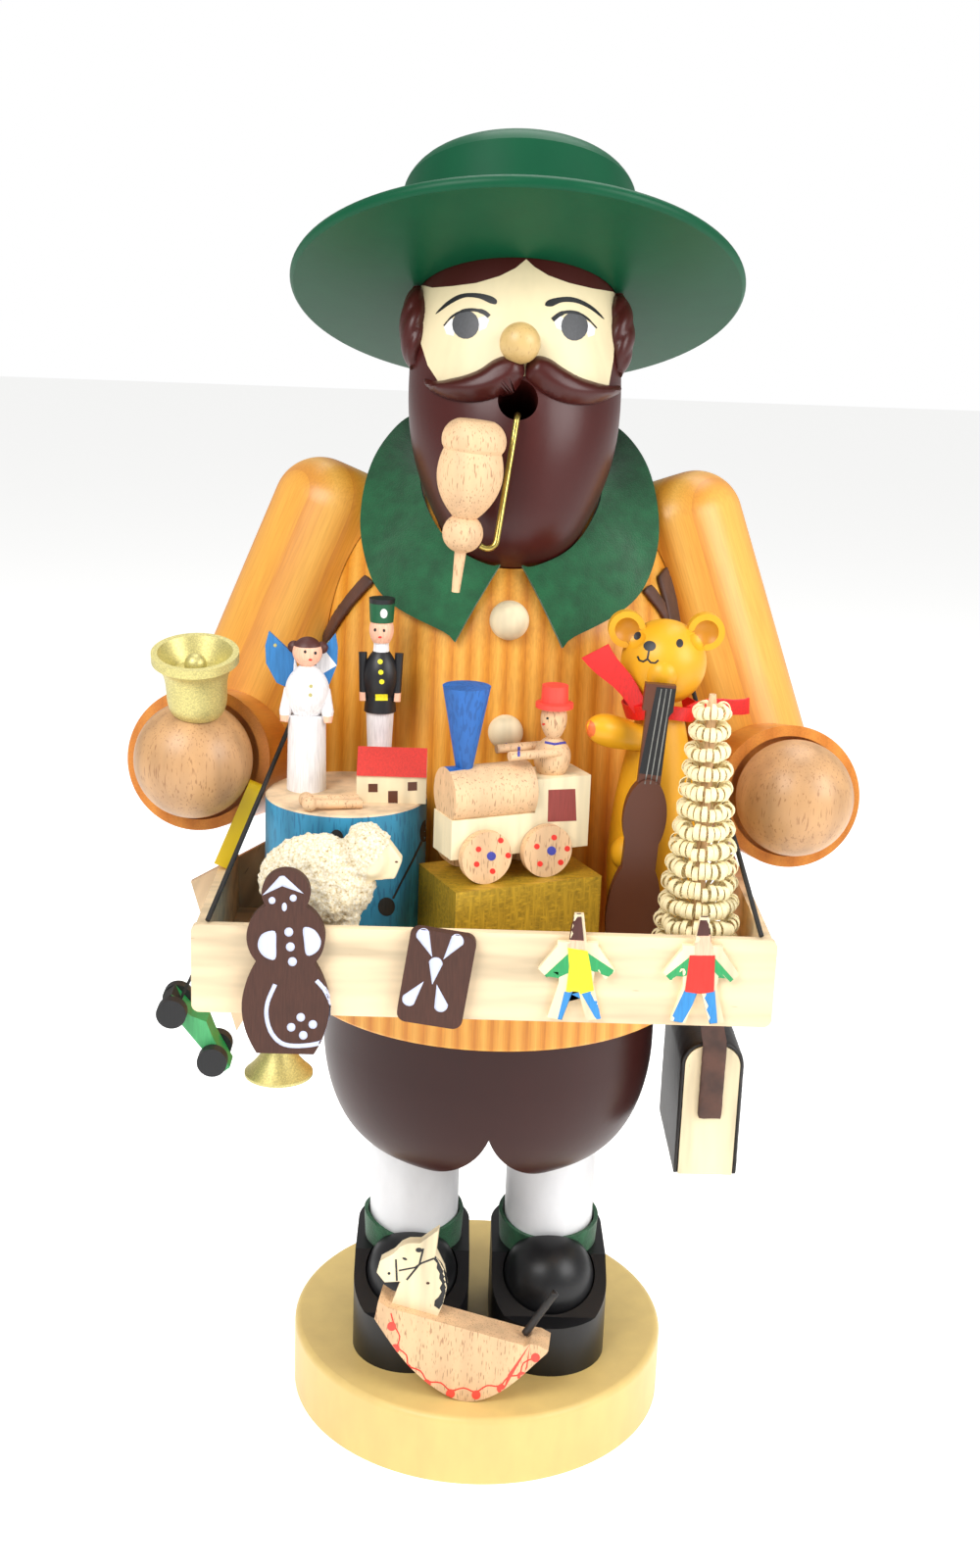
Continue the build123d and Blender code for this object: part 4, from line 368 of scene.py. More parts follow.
class Stock:
    """Every finish on the figure, named from the real one."""

    pine = BandedPine("honey stained pine, varnished", "#dd9228", 0.42)
    left_arm = BandedPine("honey stained pine, left arm", "#e09a34", 0.4, grain=(-34, -12, -83),
        light="#efb452", dark="#d58c30", band_mm=11.0)
    right_arm = BandedPine("honey stained pine, right arm", "#e09a34", 0.4, grain=(31, -12, -89),
        light="#efb452", dark="#d58c30", band_mm=11.0)
    left_cuff = BandedPine("orange stained pine, left sleeve", "#d0802c", 0.4, grain=(-5, -70, 17),
        light="#dc9038", dark="#c87a26", band_mm=9.0)
    right_cuff = BandedPine("orange stained pine, right sleeve", "#d0802c", 0.4, grain=(2, -70, 16),
        light="#dc9038", dark="#c87a26", band_mm=9.0)
    hat = Lacquer("beech, sprayed bottle green satin", "#074c30", 0.42, coat=0.04, specular=0.16)
    brown = Lacquer("beech, sprayed dark brown satin", "#341512", 0.38, coat=0.08, specular=0.25)
    beard = Lacquer("beech, sprayed red brown satin", "#431714", 0.36, coat=0.1, specular=0.3)
    black = Lacquer("beech, sprayed black satin", "#161618", 0.4)
    white = Lacquer("beech, sprayed white satin", "#e6e6e8", 0.45)
    base = Lacquer("beech disc, sprayed pale gold", "#dcc07a", 0.42)
    beech = Beech("steamed beech, clear matt varnish", "#be9264", 0.45, density=0.61, fleck_mm=0.6, tone=(0.9,
        1.06), coat=0.15)
    nose = Beech("beech nose, clear matt varnish", "#cfae70", 0.45, fleck="#a87f48", density=0.62,
        fleck_mm=0.5, tone=(0.94, 1.05), coat=0.15)
    pale_beech = Beech("white beech, bare turned", "#dcb68c", 0.6, fleck="#7c4a2c", density=0.61,
        fleck_mm=0.5, tone=(0.92, 1.06))
    maple = Beech("limewood board, sanded", "#e3cba6", 0.6, grain=(1, 0, 0), fleck="#8a5c3a", density=0.74,
        fleck_mm=0.9)
    lime = Beech("limewood, sanded", "#ead9b4", 0.6, fleck="#b58d62", density=0.78)
    face = Beech("limewood face, clear matt varnish", "#e4d3ab", 0.5, fleck="#d8c294", density=0.8,
        tone=(0.975, 1.015))
    gold = GoldPaint("bronze powder paint, turned wood", "#c3b878", 0.45, metal=0.6)
    crate_gold = GoldPaint("bronze powder paint, brushed on cloth grained block", "#b7952a", 0.45, metal=0.45,
        streak_mm=0.9)
    felt = Felt("pressed wool felt, bottle green", "#12522f", 0.95)
    brown_strap = Leather("split leather, dark brown", "#4a2e24", 0.55)
    black_strap = Leather("split leather, black", "#1d1a19", 0.5)
    brass = Metal("brass wire, drawn", "#b9a55a", 0.28)
    tin = Metal("tin plate, rolled", "#9a9a94", 0.35)
    fleece = Flock("wool crumbs, glued", "#f4ecd8", 0.95)
    charcoal = Paint("pressed charcoal, moulded", "#2e2a28", 0.95, fibre=0.3)
    cord = Paint("waxed cotton cord, black", "#1c1a19", 0.7, fibre=0.3)
    blue_stain = Beech("beech, stained blue", "#2c86ac", 0.5, fleck="#1a5c82", density=0.55)
    funnel_blue = Beech("beech, painted blue", "#2464b0", 0.55, fleck="#174a88", density=0.52)
    red = Paint("toy paint, poppy red", "#dc2a1e", 0.45)
    bright_red = Paint("toy paint, signal red", "#f0483a", 0.5)
    panel_red = Paint("toy paint, oxide red", "#8c3a34", 0.6)
    white_paint = Paint("toy paint, white", "#e9e6e6", 0.5)
    black_paint = Paint("toy paint, black", "#17171a", 0.45)
    iris = Paint("toy paint, charcoal grey", "#4a4a4d", 0.45)
    blue_paint = Paint("toy paint, wing blue", "#2c76b4", 0.5)
    sky = Paint("toy paint, sky blue", "#2f86c8", 0.5)
    ink = Paint("toy paint, violet blue", "#3a3f9c", 0.5)
    green_paint = Paint("toy paint, leaf green", "#2a9a58", 0.5)
    dark_green = Paint("toy paint, bottle green", "#0e5a36", 0.5)
    yellow = Paint("toy paint, lemon yellow", "#f0e224", 0.5)
    skin = Paint("toy paint, flesh", "#f0b89a", 0.5)
    hair = Paint("toy paint, chestnut", "#4c241e", 0.5)
    icing = Paint("piped white icing paint", "#c9cfe8", 0.6, fibre=0.02)
    cookie = Paint("matt gingerbread brown paint", "#47291f", 0.75, fibre=0.1)
    bear = Lacquer("toy paint, honey yellow satin", "#e2a31c", 0.42)
    paw = Paint("toy paint, salmon", "#e0682c", 0.5)
    ribbon = Paint("satin ribbon, scarlet", "#e01c1c", 0.45)
    fiddle = Lacquer("brown violin varnish", "#5e3524", 0.4)
    shaving = Paint("shaved limewood curls, bare", "#f5e6b8", 0.65, fibre=0.05)
    kite = Beech("thin alder board, bare", "#cdb492", 0.6, grain=(0.4, 0, 0.9), fleck="#8a6a4a", density=0.72)
    roof = Paint("toy paint, roof red", "#cc2c20", 0.45)
    drum_top = Beech("limewood drum head, sanded", "#dcc09c", 0.6, fleck="#a87c58", density=0.7)
    # Painted shade: the darker honey in the bear's ear hollows stands in for the shade that falls there.
    ear_shade = Lacquer("painted shade in the ear hollows, dark honey", "#bd7c10", 0.45)
    tyre = Paint("toy paint, tyre black", "#1a1a1c", 0.6)
    # One green paint split in two by face direction: the pale green sides are a painted highlight and the
    # darker top is painted shade.
    racer_lit_side = Paint("painted highlight on the racer's sides, pale green", "#4cae6c", 0.45)
    racer_shaded_top = Paint("painted shade on the racer's top, racing green", "#1f9a55", 0.4)
    lemon_block = Lacquer("skittle, lemon yellow lacquer", "#e0bc14", 0.4)


PLAIN: dict[str, Finish] = {
    "base_disc": Stock.base, "left_shoe": Stock.black, "right_shoe": Stock.black, "stockings": Stock.white,
    "left_ankle_felt": Stock.felt, "right_ankle_felt": Stock.felt, "trousers": Stock.brown,
    "incense_plate": Stock.tin, "incense_cone": Stock.charcoal, "jacket": Stock.pine,
    "neck_tube": Stock.beech,
    "head": Stock.beard, "nose": Stock.nose, "moustache": Stock.beard, "hair_locks": Stock.beard,
    "hat": Stock.hat,
    "felt_collar": Stock.felt, "coat_buttons": Stock.lime, "left_hand": Stock.beech,
    "right_hand": Stock.beech,
    "left_upper_arm": Stock.left_arm, "right_upper_arm": Stock.right_arm,
    "left_sleeve": Stock.left_cuff, "right_sleeve": Stock.right_cuff,
    "bell": Stock.gold, "tray_front": Stock.maple, "tray_ends": Stock.maple, "tray_floor": Stock.maple,
    "drum": Stock.blue_stain, "drumsticks": Stock.pale_beech, "angel": Stock.white_paint,
    "miner": Stock.black_paint,
    "toy_house": Stock.lime, "sheep": Stock.fleece, "golden_crate": Stock.crate_gold,
    "locomotive": Stock.lime,
    "loco_wheels": Stock.pale_beech, "engine_driver": Stock.pale_beech, "teddy_body": Stock.bear,
    "teddy_head": Stock.bear, "teddy_scarf": Stock.ribbon, "violin": Stock.fiddle, "curl_tree": Stock.shaving,
    "gingerbread": Stock.cookie, "flat_dolls": Stock.lime, "toy_kite": Stock.kite,
    "skittle": Stock.lemon_block,
    "braces": Stock.brown_strap, "satchel_strap": Stock.brown_strap, "satchel_hanger": Stock.black_strap,
    "satchel": Stock.lime, "satchel_wrap": Stock.black_strap, "tray_cords": Stock.cord,
    "rocker": Stock.pale_beech,
    "horse_head": Stock.lime, "horse_tail": Stock.black_strap, "pipe_bowl": Stock.pale_beech,
    "pipe_wire": Stock.brass, "trumpet": Stock.gold, "race_car": Stock.green_paint,
}


class Slot(Enum):
    """The names of the record's material slots."""

    BEECH = "natural_beech"
    FACE = "face_lacquer"
    BEARD = "beard_brown"
    FELT = "green_felt"
    FLEECE = "cream_fleece"
    COOKIE = "gingerbread_brown"
    BEAR = "bear_yellow"
    SCARF = "scarf_red"
    VIOLIN = "violin_brown"
    SHAVING = "curled_wood"
    RACER = "racer_green"
    BLACK_LEATHER = "black_leather"
    BROWN_LEATHER = "brown_leather"
    CORD = "black_cord"
    DRUM = "drum_blue"
    TOY = "toy_paint"


@dataclass
class Sight:
    """The photograph's camera: where it stands, how it looks, and the ray behind each photo pixel."""

    place_mm: tuple[float, float, float] = (-18.7, -661.2, 443.2)
    focal_px: float = 1850.0
    frame_px: tuple[int, int] = (1000, 1600)
    pitch: float = 0.2784
    yaw: float = 0.024
    roll: float = 0.037

    def axes(self) -> tuple[Vector, Vector, Vector]:
        """The view's right, up and forward directions."""
        ahead = Vector((math.sin(self.yaw) * math.cos(self.pitch), math.cos(self.yaw) * math.cos(self.pitch),
            -math.sin(self.pitch)))
        level = Vector((math.cos(self.yaw), -math.sin(self.yaw), 0))
        over = level.cross(ahead)
        right = math.cos(self.roll) * level + math.sin(self.roll) * over
        return right, math.cos(self.roll) * over - math.sin(self.roll) * level, ahead

    def ray(self, x: float, y: float) -> tuple[Vector, Vector]:
        """The start and direction of the line of sight through a photo pixel."""
        right, over, ahead = self.axes()
        across, down = x - self.frame_px[0] / 2, y - self.frame_px[1] / 2
        return Vector(self.place_mm) * MM, (ahead * self.focal_px + right * across - over * down).normalized()

    def pixel(self, point: Vector) -> Point:
        """The photo pixel that a point in metres falls on."""
        right, over, ahead = self.axes()
        away = point - Vector(self.place_mm) * MM
        depth = away.dot(ahead)
        return (self.frame_px[0] / 2 + self.focal_px * away.dot(right) / depth,
                self.frame_px[1] / 2 - self.focal_px * away.dot(over) / depth)

    def build(self) -> None:
        """Adds the scene's camera."""
        data = bpy.data.cameras.new("photo_camera")
        data.sensor_fit = "VERTICAL"
        data.sensor_height = 36.0
        data.lens = data.sensor_height * self.focal_px / self.frame_px[1]
        data.clip_start = 0.01
        made = bpy.data.objects.new("photo_camera", data)
        bpy.context.scene.collection.objects.link(made)
        right, over, ahead = self.axes()
        turn = Matrix((right, over, -ahead)).transposed().to_4x4()
        made.matrix_world = Matrix.Translation(Vector(self.place_mm) * MM) @ turn
        bpy.context.scene.camera = made


@dataclass
class Studio:
    """A pale seamless floor and soft white light from the front, both sides and above."""

    floor_half: float = 6.0
    floor_colour: str = "#f6f6f5"
    world_strength: float = 0.42
    backdrop_strength: float = 1.0
    floor_glow: float = 0.56
    lamps: tuple[tuple[str, tuple[float, float, float], float, float], ...] = (
        ("key_softbox", (-0.55, -0.75, 1.05), 11.0, 0.6),
        ("fill_softbox", (0.8, -0.55, 0.75), 8.0, 0.6),
        ("top_softbox", (0.1, 0.35, 1.25), 7.0, 0.8),
    )
    aim: tuple[float, float, float] = (0.0, 0.0, 0.26)

    def build(self) -> None:
        """Adds the floor, the world's light and the softboxes."""
        half = self.floor_half
        mesh = bpy.data.meshes.new("studio_floor")
        mesh.from_pydata([(-half, -half, 0), (half, -half, 0), (half, half, 0), (-half, half, 0)], [],
            [(0, 1, 2, 3)])
        floor = bpy.data.objects.new("studio_floor", mesh)
        bpy.context.scene.collection.objects.link(floor)
        paper = Finish("studio paper, lit from below", self.floor_colour, 0.9).material()
        shader = paper.node_tree.nodes["Principled BSDF"]
        shader.inputs["Emission Color"].default_value = linear(self.floor_colour)
        shader.inputs["Emission Strength"].default_value = self.floor_glow
        shader.inputs["Specular IOR Level"].default_value = 0.1
        mesh.materials.append(paper)
        bpy.context.scene.view_settings.view_transform = "Standard"
        world = bpy.data.worlds.new("studio_world")
        bpy.context.scene.world = world
        world.use_nodes = True
        tree = world.node_tree
        seen = add_node(tree, "ShaderNodeLightPath").outputs["Is Camera Ray"]
        gain = add_node(tree, "ShaderNodeMix", {"Factor": seen, "A": self.world_strength,
            "B": self.backdrop_strength}, data_type="FLOAT")
        back = tree.nodes["Background"]
        back.inputs["Color"].default_value = linear("#ffffff")
        tree.links.new(gain.outputs["Result"], back.inputs["Strength"])
        for name, spot, power, size in self.lamps:
            data = bpy.data.lights.new(name, "AREA")
            data.energy = power
            data.size = size
            lamp = bpy.data.objects.new(name, data)
            bpy.context.scene.collection.objects.link(lamp)
            lamp.location = spot
            lamp.rotation_euler = (Vector(self.aim) - Vector(spot)).to_track_quat("-Z", "Y").to_euler()


def rounded(points: Sequence[Point], steps: int = 6, closed: bool = True) -> list[Point]:
    """A smooth line through points, in any number of dimensions.

    Args:
        points: The points that the line goes through.
        steps: Points that each stretch gets.
        closed: Whether the line returns to its start.

    Returns:
        The line's points.
    """
    count = len(points)
    made = []
    for i in range(count if closed else count - 1):
        if closed:
            four = [points[(i + k) % count] for k in (-1, 0, 1, 2)]
        else:
            four = [points[min(max(i + k, 0), count - 1)] for k in (-1, 0, 1, 2)]
        for step in range(steps):
            t = step / steps
            made.append(tuple(
                0.5 * (2 * b + (c - a) * t + (2 * a - 5 * b + 4 * c - d) * t * t + (3 * b - a - 3 * c
                    + d) * t**3)
                for a, b, c, d in zip(*four)))
    if not closed:
        made.append(tuple(points[-1]))
    return made


def oval(x: float, y: float, across: float, tall: float = 0.0, turn: float = 0.0,
    count: int = 18) -> list[Point]:
    """An oval's outline about (x, y), with its two radii and a turn in degrees."""
    tall = tall or across
    c, s = math.cos(math.radians(turn)), math.sin(math.radians(turn))
    around = [(across * math.cos(k * math.tau / count), tall * math.sin(k * math.tau / count))
        for k in range(count)]
    return [(x + u * c - v * s, y + u * s + v * c) for u, v in around]


def drop(fat: Point, tip: Point, radius: float) -> list[Point]:
    """A teardrop's outline: round at fat, pointed at tip."""
    way = math.atan2(tip[1] - fat[1], tip[0] - fat[0])
    count = 12
    spread = math.radians(100)
    arc = [way + spread + (math.tau - 2 * spread) * k / count for k in range(count + 1)]
    return [(fat[0] + radius * math.cos(a), fat[1] + radius * math.sin(a)) for a in arc] + [tip]


def stroke(points: Sequence[Point], width: float | Sequence[float]) -> list[Point]:
    """A brush stroke's outline along a line.

    Args:
        points: The line's points.
        width: The stroke's full width, or one width for each point.

    Returns:
        The closed outline.
    """
    widths = [width] * len(points) if isinstance(width, (int, float)) else list(width)
    left, right = [], []
    for i, (x, y) in enumerate(points):
        (ax, ay), (bx, by) = points[max(i - 1, 0)], points[min(i + 1, len(points) - 1)]
        length = math.hypot(bx - ax, by - ay) or 1.0
        nx, ny = -(by - ay) / length, (bx - ax) / length
        half = widths[i] / 2
        left.append((x + nx * half, y + ny * half))
        right.append((x - nx * half, y - ny * half))
    return left + right[::-1]


def tidy_mesh(mesh: bpy.types.Mesh, sharp_degrees: float = 35.0) -> None:
    """Shades a mesh smooth, with its sharper edges kept."""
    mesh.polygons.foreach_set("use_smooth", [True] * len(mesh.polygons))
    mesh.set_sharp_from_angle(angle=math.radians(sharp_degrees))
    mesh.update()


def ring_faces(start: int, rings: int, around: int, flip: bool = False) -> list[tuple[int, int, int, int]]:
    """The side faces of a tube whose rings follow one another in its corners.

    Args:
        start: The number of its first corner.
        rings: How many bands of faces it has.
        around: Corners in each ring.
        flip: Whether the faces turn the other way.

    Returns:
        The four-cornered faces.
    """
    made = []
    for ring in range(rings):
        for k in range(around):
            a, b = start + ring * around + k, start + ring * around + (k + 1) % around
            made.append((b, a, a + around, b + around) if flip else (a, b, b + around, a + around))
    return made


def add_object(name: str, data: bpy.types.ID, body: str, finish: Finish | None = None,
               stands_for: str = "") -> bpy.types.Object:
    """Links one new object, riding on its body.

    Args:
        name: The object's name.
        data: Its mesh or curve.
        body: The body that it rides on.
        finish: Its main finish; not used.
        stands_for: The CAD node that it stands for, if any.

    Returns:
        The new object.
    """
    made = bpy.data.objects.new(name, data)
    bpy.context.scene.collection.objects.link(made)
    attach(made, body)
    if stands_for:
        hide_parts(stands_for)
    return made


def piece(name: str, verts: Iterable[Vector], faces: Iterable[Sequence[int]], finish: Finish, body: str,
    sharp: float = 35.0) -> bpy.types.Object:
    """Makes one mesh piece, finished and riding on its body.

    Args:
        name: The piece's name.
        verts: Its corners, in metres.
        faces: Its faces, as corner numbers.
        finish: Its finish.
        body: The body that it rides on.
        sharp: Edges bent more than this many degrees stay sharp.

    Returns:
        The new object.
    """
    mesh = bpy.data.meshes.new(name)
    mesh.from_pydata([tuple(v) for v in verts], [], [tuple(f) for f in faces])
    mesh.validate()
    mesh.materials.append(finish.material())
    tidy_mesh(mesh, sharp)
    log.info("made %s with %d faces", name, len(mesh.polygons))
    return add_object(name, mesh, body, finish)


@dataclass
class Brush:
    """Paints shapes on a CAD surface where the photograph shows them.

    The shapes are thin closed skins that lie on the surface behind their photo pixels.

    Attributes:
        sight: The photograph's camera.
        body: The body that the paint rides on.
        nodes: The CAD nodes that the paint lies on.
        shift_px: How far the surface lies from its photo place, in pixels.
        step_px: The skin's mesh spacing in pixels.
        sink_mm: How far the skin's underside lies in the surface.
        crown_mm: How much further a raised shape swells in its middle.
        crown_px: How far in from its edge it is still rising.
    """

    sight: Sight
    body: str
    nodes: tuple[str, ...]
    shift_px: Point = (0.0, 0.0)
    step_px: float = 5.0
    sink_mm: float = 0.06
    crown_mm: float = 0.0
    crown_px: float = 6.0

    def __post_init__(self) -> None:
        """Readies the surface for finding."""
        self.tree = surface_of(*self.nodes)

    def touch(self, x: float, y: float, depth: float | None) -> tuple[Vector, Vector, float]:
        """Where the line of sight through a pixel meets the surface, its normal there, and how far away."""
        start, way = self.sight.ray(x + self.shift_px[0], y + self.shift_px[1])
        spot, normal, _, away = self.tree.ray_cast(start, way)
        if spot is None:
            spot, normal, _, _ = self.tree.find_nearest(start + way * (depth or 0.6))
            away = (spot - start).length
        if normal.dot(way) > 0:
            normal = -normal
        return spot, normal, away

    def paint(self, name: str, outlines: Sequence[Sequence[Point]], finish: Finish,
        lift_mm: float = 0.1) -> bpy.types.Object:
        """Lays closed outlines on the surface as one painted piece.

        Args:
            name: The piece's name.
            outlines: Closed outlines in photo pixels.
            finish: The paint.
            lift_mm: How far the paint stands off the surface.

        Returns:
            The painted piece.
        """
        verts: list[Vector] = []
        faces: list[list[int]] = []
        for outline in outlines:
            self.lay(outline, lift_mm, verts, faces)
        return piece(name, verts, faces, finish, self.body, 60.0)

    def lay(self, outline: Sequence[Point], lift_mm: float, verts: list[Vector],
        faces: list[list[int]]) -> None:
        """Adds one outline's closed skin to verts and faces."""
        edge = []
        for i, (x, y) in enumerate(outline):
            nx, ny = outline[(i + 1) % len(outline)]
            parts = max(1, round(math.hypot(nx - x, ny - y) / self.step_px))
            edge += [(x + (nx - x) * k / parts, y + (ny - y) * k / parts) for k in range(parts)]
        xs, ys = [p[0] for p in edge], [p[1] for p in edge]
        inner = []
        rows = int((max(ys) - min(ys)) / self.step_px)
        for row in range(1, rows + 1):
            y = min(ys) + row * self.step_px
            across = int((max(xs) - min(xs)) / self.step_px)
            inner += [(min(xs) + (k + 0.5 * (row % 2)) * self.step_px, y) for k in range(1, across + 1)]
        keep = [p for p in inner if all(math.hypot(p[0] - e[0], p[1] - e[1]) > self.step_px * 0.45
            for e in edge)]
        loop = [(i, (i + 1) % len(edge)) for i in range(len(edge))]
        flat, _, made, *_ = delaunay_2d_cdt([Vector(p) for p in edge + keep], loop, [list(range(len(edge)))],
            1, 1e-4)
        used = sorted({i for f in made for i in f})
        renumber = {old: new for new, old in enumerate(used)}
        depth = None
        tops, lows = [], []
        for i in used:
            spot, normal, depth = self.touch(flat[i].x, flat[i].y, depth)
            swell = 0.0
            if self.crown_mm:
                near = min(math.hypot(flat[i].x - e[0], flat[i].y - e[1]) for e in edge)
                swell = self.crown_mm * math.sin(math.pi / 2 * min(near / self.crown_px, 1.0))
            tops.append(spot + normal * (lift_mm + swell) * MM)
            lows.append(spot - normal * self.sink_mm * MM)
        start, count = len(verts), len(used)
        verts += tops + lows
        top_faces = [[renumber[i] for i in f][::-1] for f in made]
        sides: dict[tuple[int, int], int] = {}
        for face in top_faces:
            for a, b in zip(face, face[1:] + face[:1]):
                sides[(a, b)] = sides.get((a, b), 0) + 1
        for face in top_faces:
            faces.append([start + i for i in face])
            faces.append([start + count + i for i in face[::-1]])
        for a, b in sides:
            if (b, a) not in sides:
                faces.append([start + b, start + a, start + count + a, start + count + b])


def painted_copy(node: str, finishes: Sequence[Finish], choose: Callable[[Vector, Vector], int],
    cuts: Sequence[tuple[Vector, Vector]] = ()) -> bpy.types.Object:
    """Stands for a CAD node with a copy whose faces are painted by place.

    Args:
        node: The CAD node.
        finishes: The finishes on it.
        choose: From a face's middle and normal, in mm, to the number of its finish.
        cuts: Planes (point, normal), in mm, that split faces so that a paint line is crisp.

    Returns:
        The painted copy.
    """
    source = frame["nodes"][node]
    work = bmesh.new()
    work.from_mesh(source.data)
    for point, normal in cuts:
        everything = work.verts[:] + work.edges[:] + work.faces[:]
        bmesh.ops.bisect_plane(work, geom=everything, plane_co=point * MM, plane_no=normal)
    for face in work.faces:
        face.material_index = choose(face.calc_center_median() / MM, face.normal)
    mesh = bpy.data.meshes.new(f"painted_{node}")
    work.to_mesh(mesh)
    work.free()
    for finish in finishes:
        mesh.materials.append(finish.material())
    tidy_mesh(mesh)
    log.info("painted %s", node)
    return add_object(f"painted_{node}", mesh, source["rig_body"], finishes[0], node)


def surface_of(*nodes: str) -> BVHTree:
    """The joined surface of some CAD nodes or pieces, for finding what lies on it."""
    verts, faces = [], []
    for name in nodes:
        mesh = (frame["nodes"].get(name) or bpy.data.objects[name]).data
        start = len(verts)
        verts += [v.co.copy() for v in mesh.vertices]
        faces += [[start + i for i in p.vertices] for p in mesh.polygons]
    return BVHTree.FromPolygons(verts, faces)


def push_clear(spots: list[Vector], ground: Sequence[tuple[BVHTree, float]]) -> None:
    """Moves points out of solids until each is clear of every surface by its clearance in mm."""
    for _ in range(3):
        for tree, clearance in ground:
            for i, spot in enumerate(spots):
                near, normal, _, away = tree.find_nearest(spot)
                if near is None or away > 0.03:
                    continue
                if (spot - near).dot(normal) < clearance * MM:
                    spots[i] = near + normal * clearance * MM


def sheet_mesh(name: str, rows: Sequence[Sequence[Vector]], thickness: float, finish: Finish, body: str,
    ring: bool = False) -> bpy.types.Object:
    """Makes a closed sheet of even thickness from a grid of points.

    Args:
        name: The piece's name.
        rows: Rows of points, each row along the sheet.
        thickness: The felt's or leather's thickness in metres.
        finish: Its finish.
        body: The body that it rides on.
        ring: Whether each row returns to its start.

    Returns:
        The new object.
    """
    high, wide = len(rows), len(rows[0])
    flat = [v for row in rows for v in row]

    def at(r: int, c: int) -> int:
        """The number of a grid point."""
        return r * wide + (c % wide if ring else c)

    columns = wide if ring else wide - 1
    quads = [(at(r, c), at(r, c + 1), at(r + 1, c + 1), at(r + 1, c)) for r in range(high - 1)
        for c in range(columns)]
    normals = [Vector() for _ in flat]
    for a, b, c, d in quads:
        normal = (flat[c] - flat[a]).cross(flat[d] - flat[b])
        for i in (a, b, c, d):
            normals[i] += normal
    count = len(flat)
    verts = flat + [v + n.normalized() * thickness for v, n in zip(flat, normals)]
    faces = [q[::-1] for q in quads] + [tuple(i + count for i in q) for q in quads]
    rims = [(at(0, c), at(0, c + 1)) for c in range(columns)] + [(at(high - 1, c + 1), at(high - 1, c))
        for c in range(columns)]
    if not ring:
        rims += [(at(r + 1, 0), at(r, 0)) for r in range(high - 1)] + [(at(r, wide - 1), at(r + 1, wide - 1))
            for r in range(high - 1)]
    faces += [(a, b, b + count, a + count) for a, b in rims]
    return piece(name, verts, faces, finish, body, 70.0)


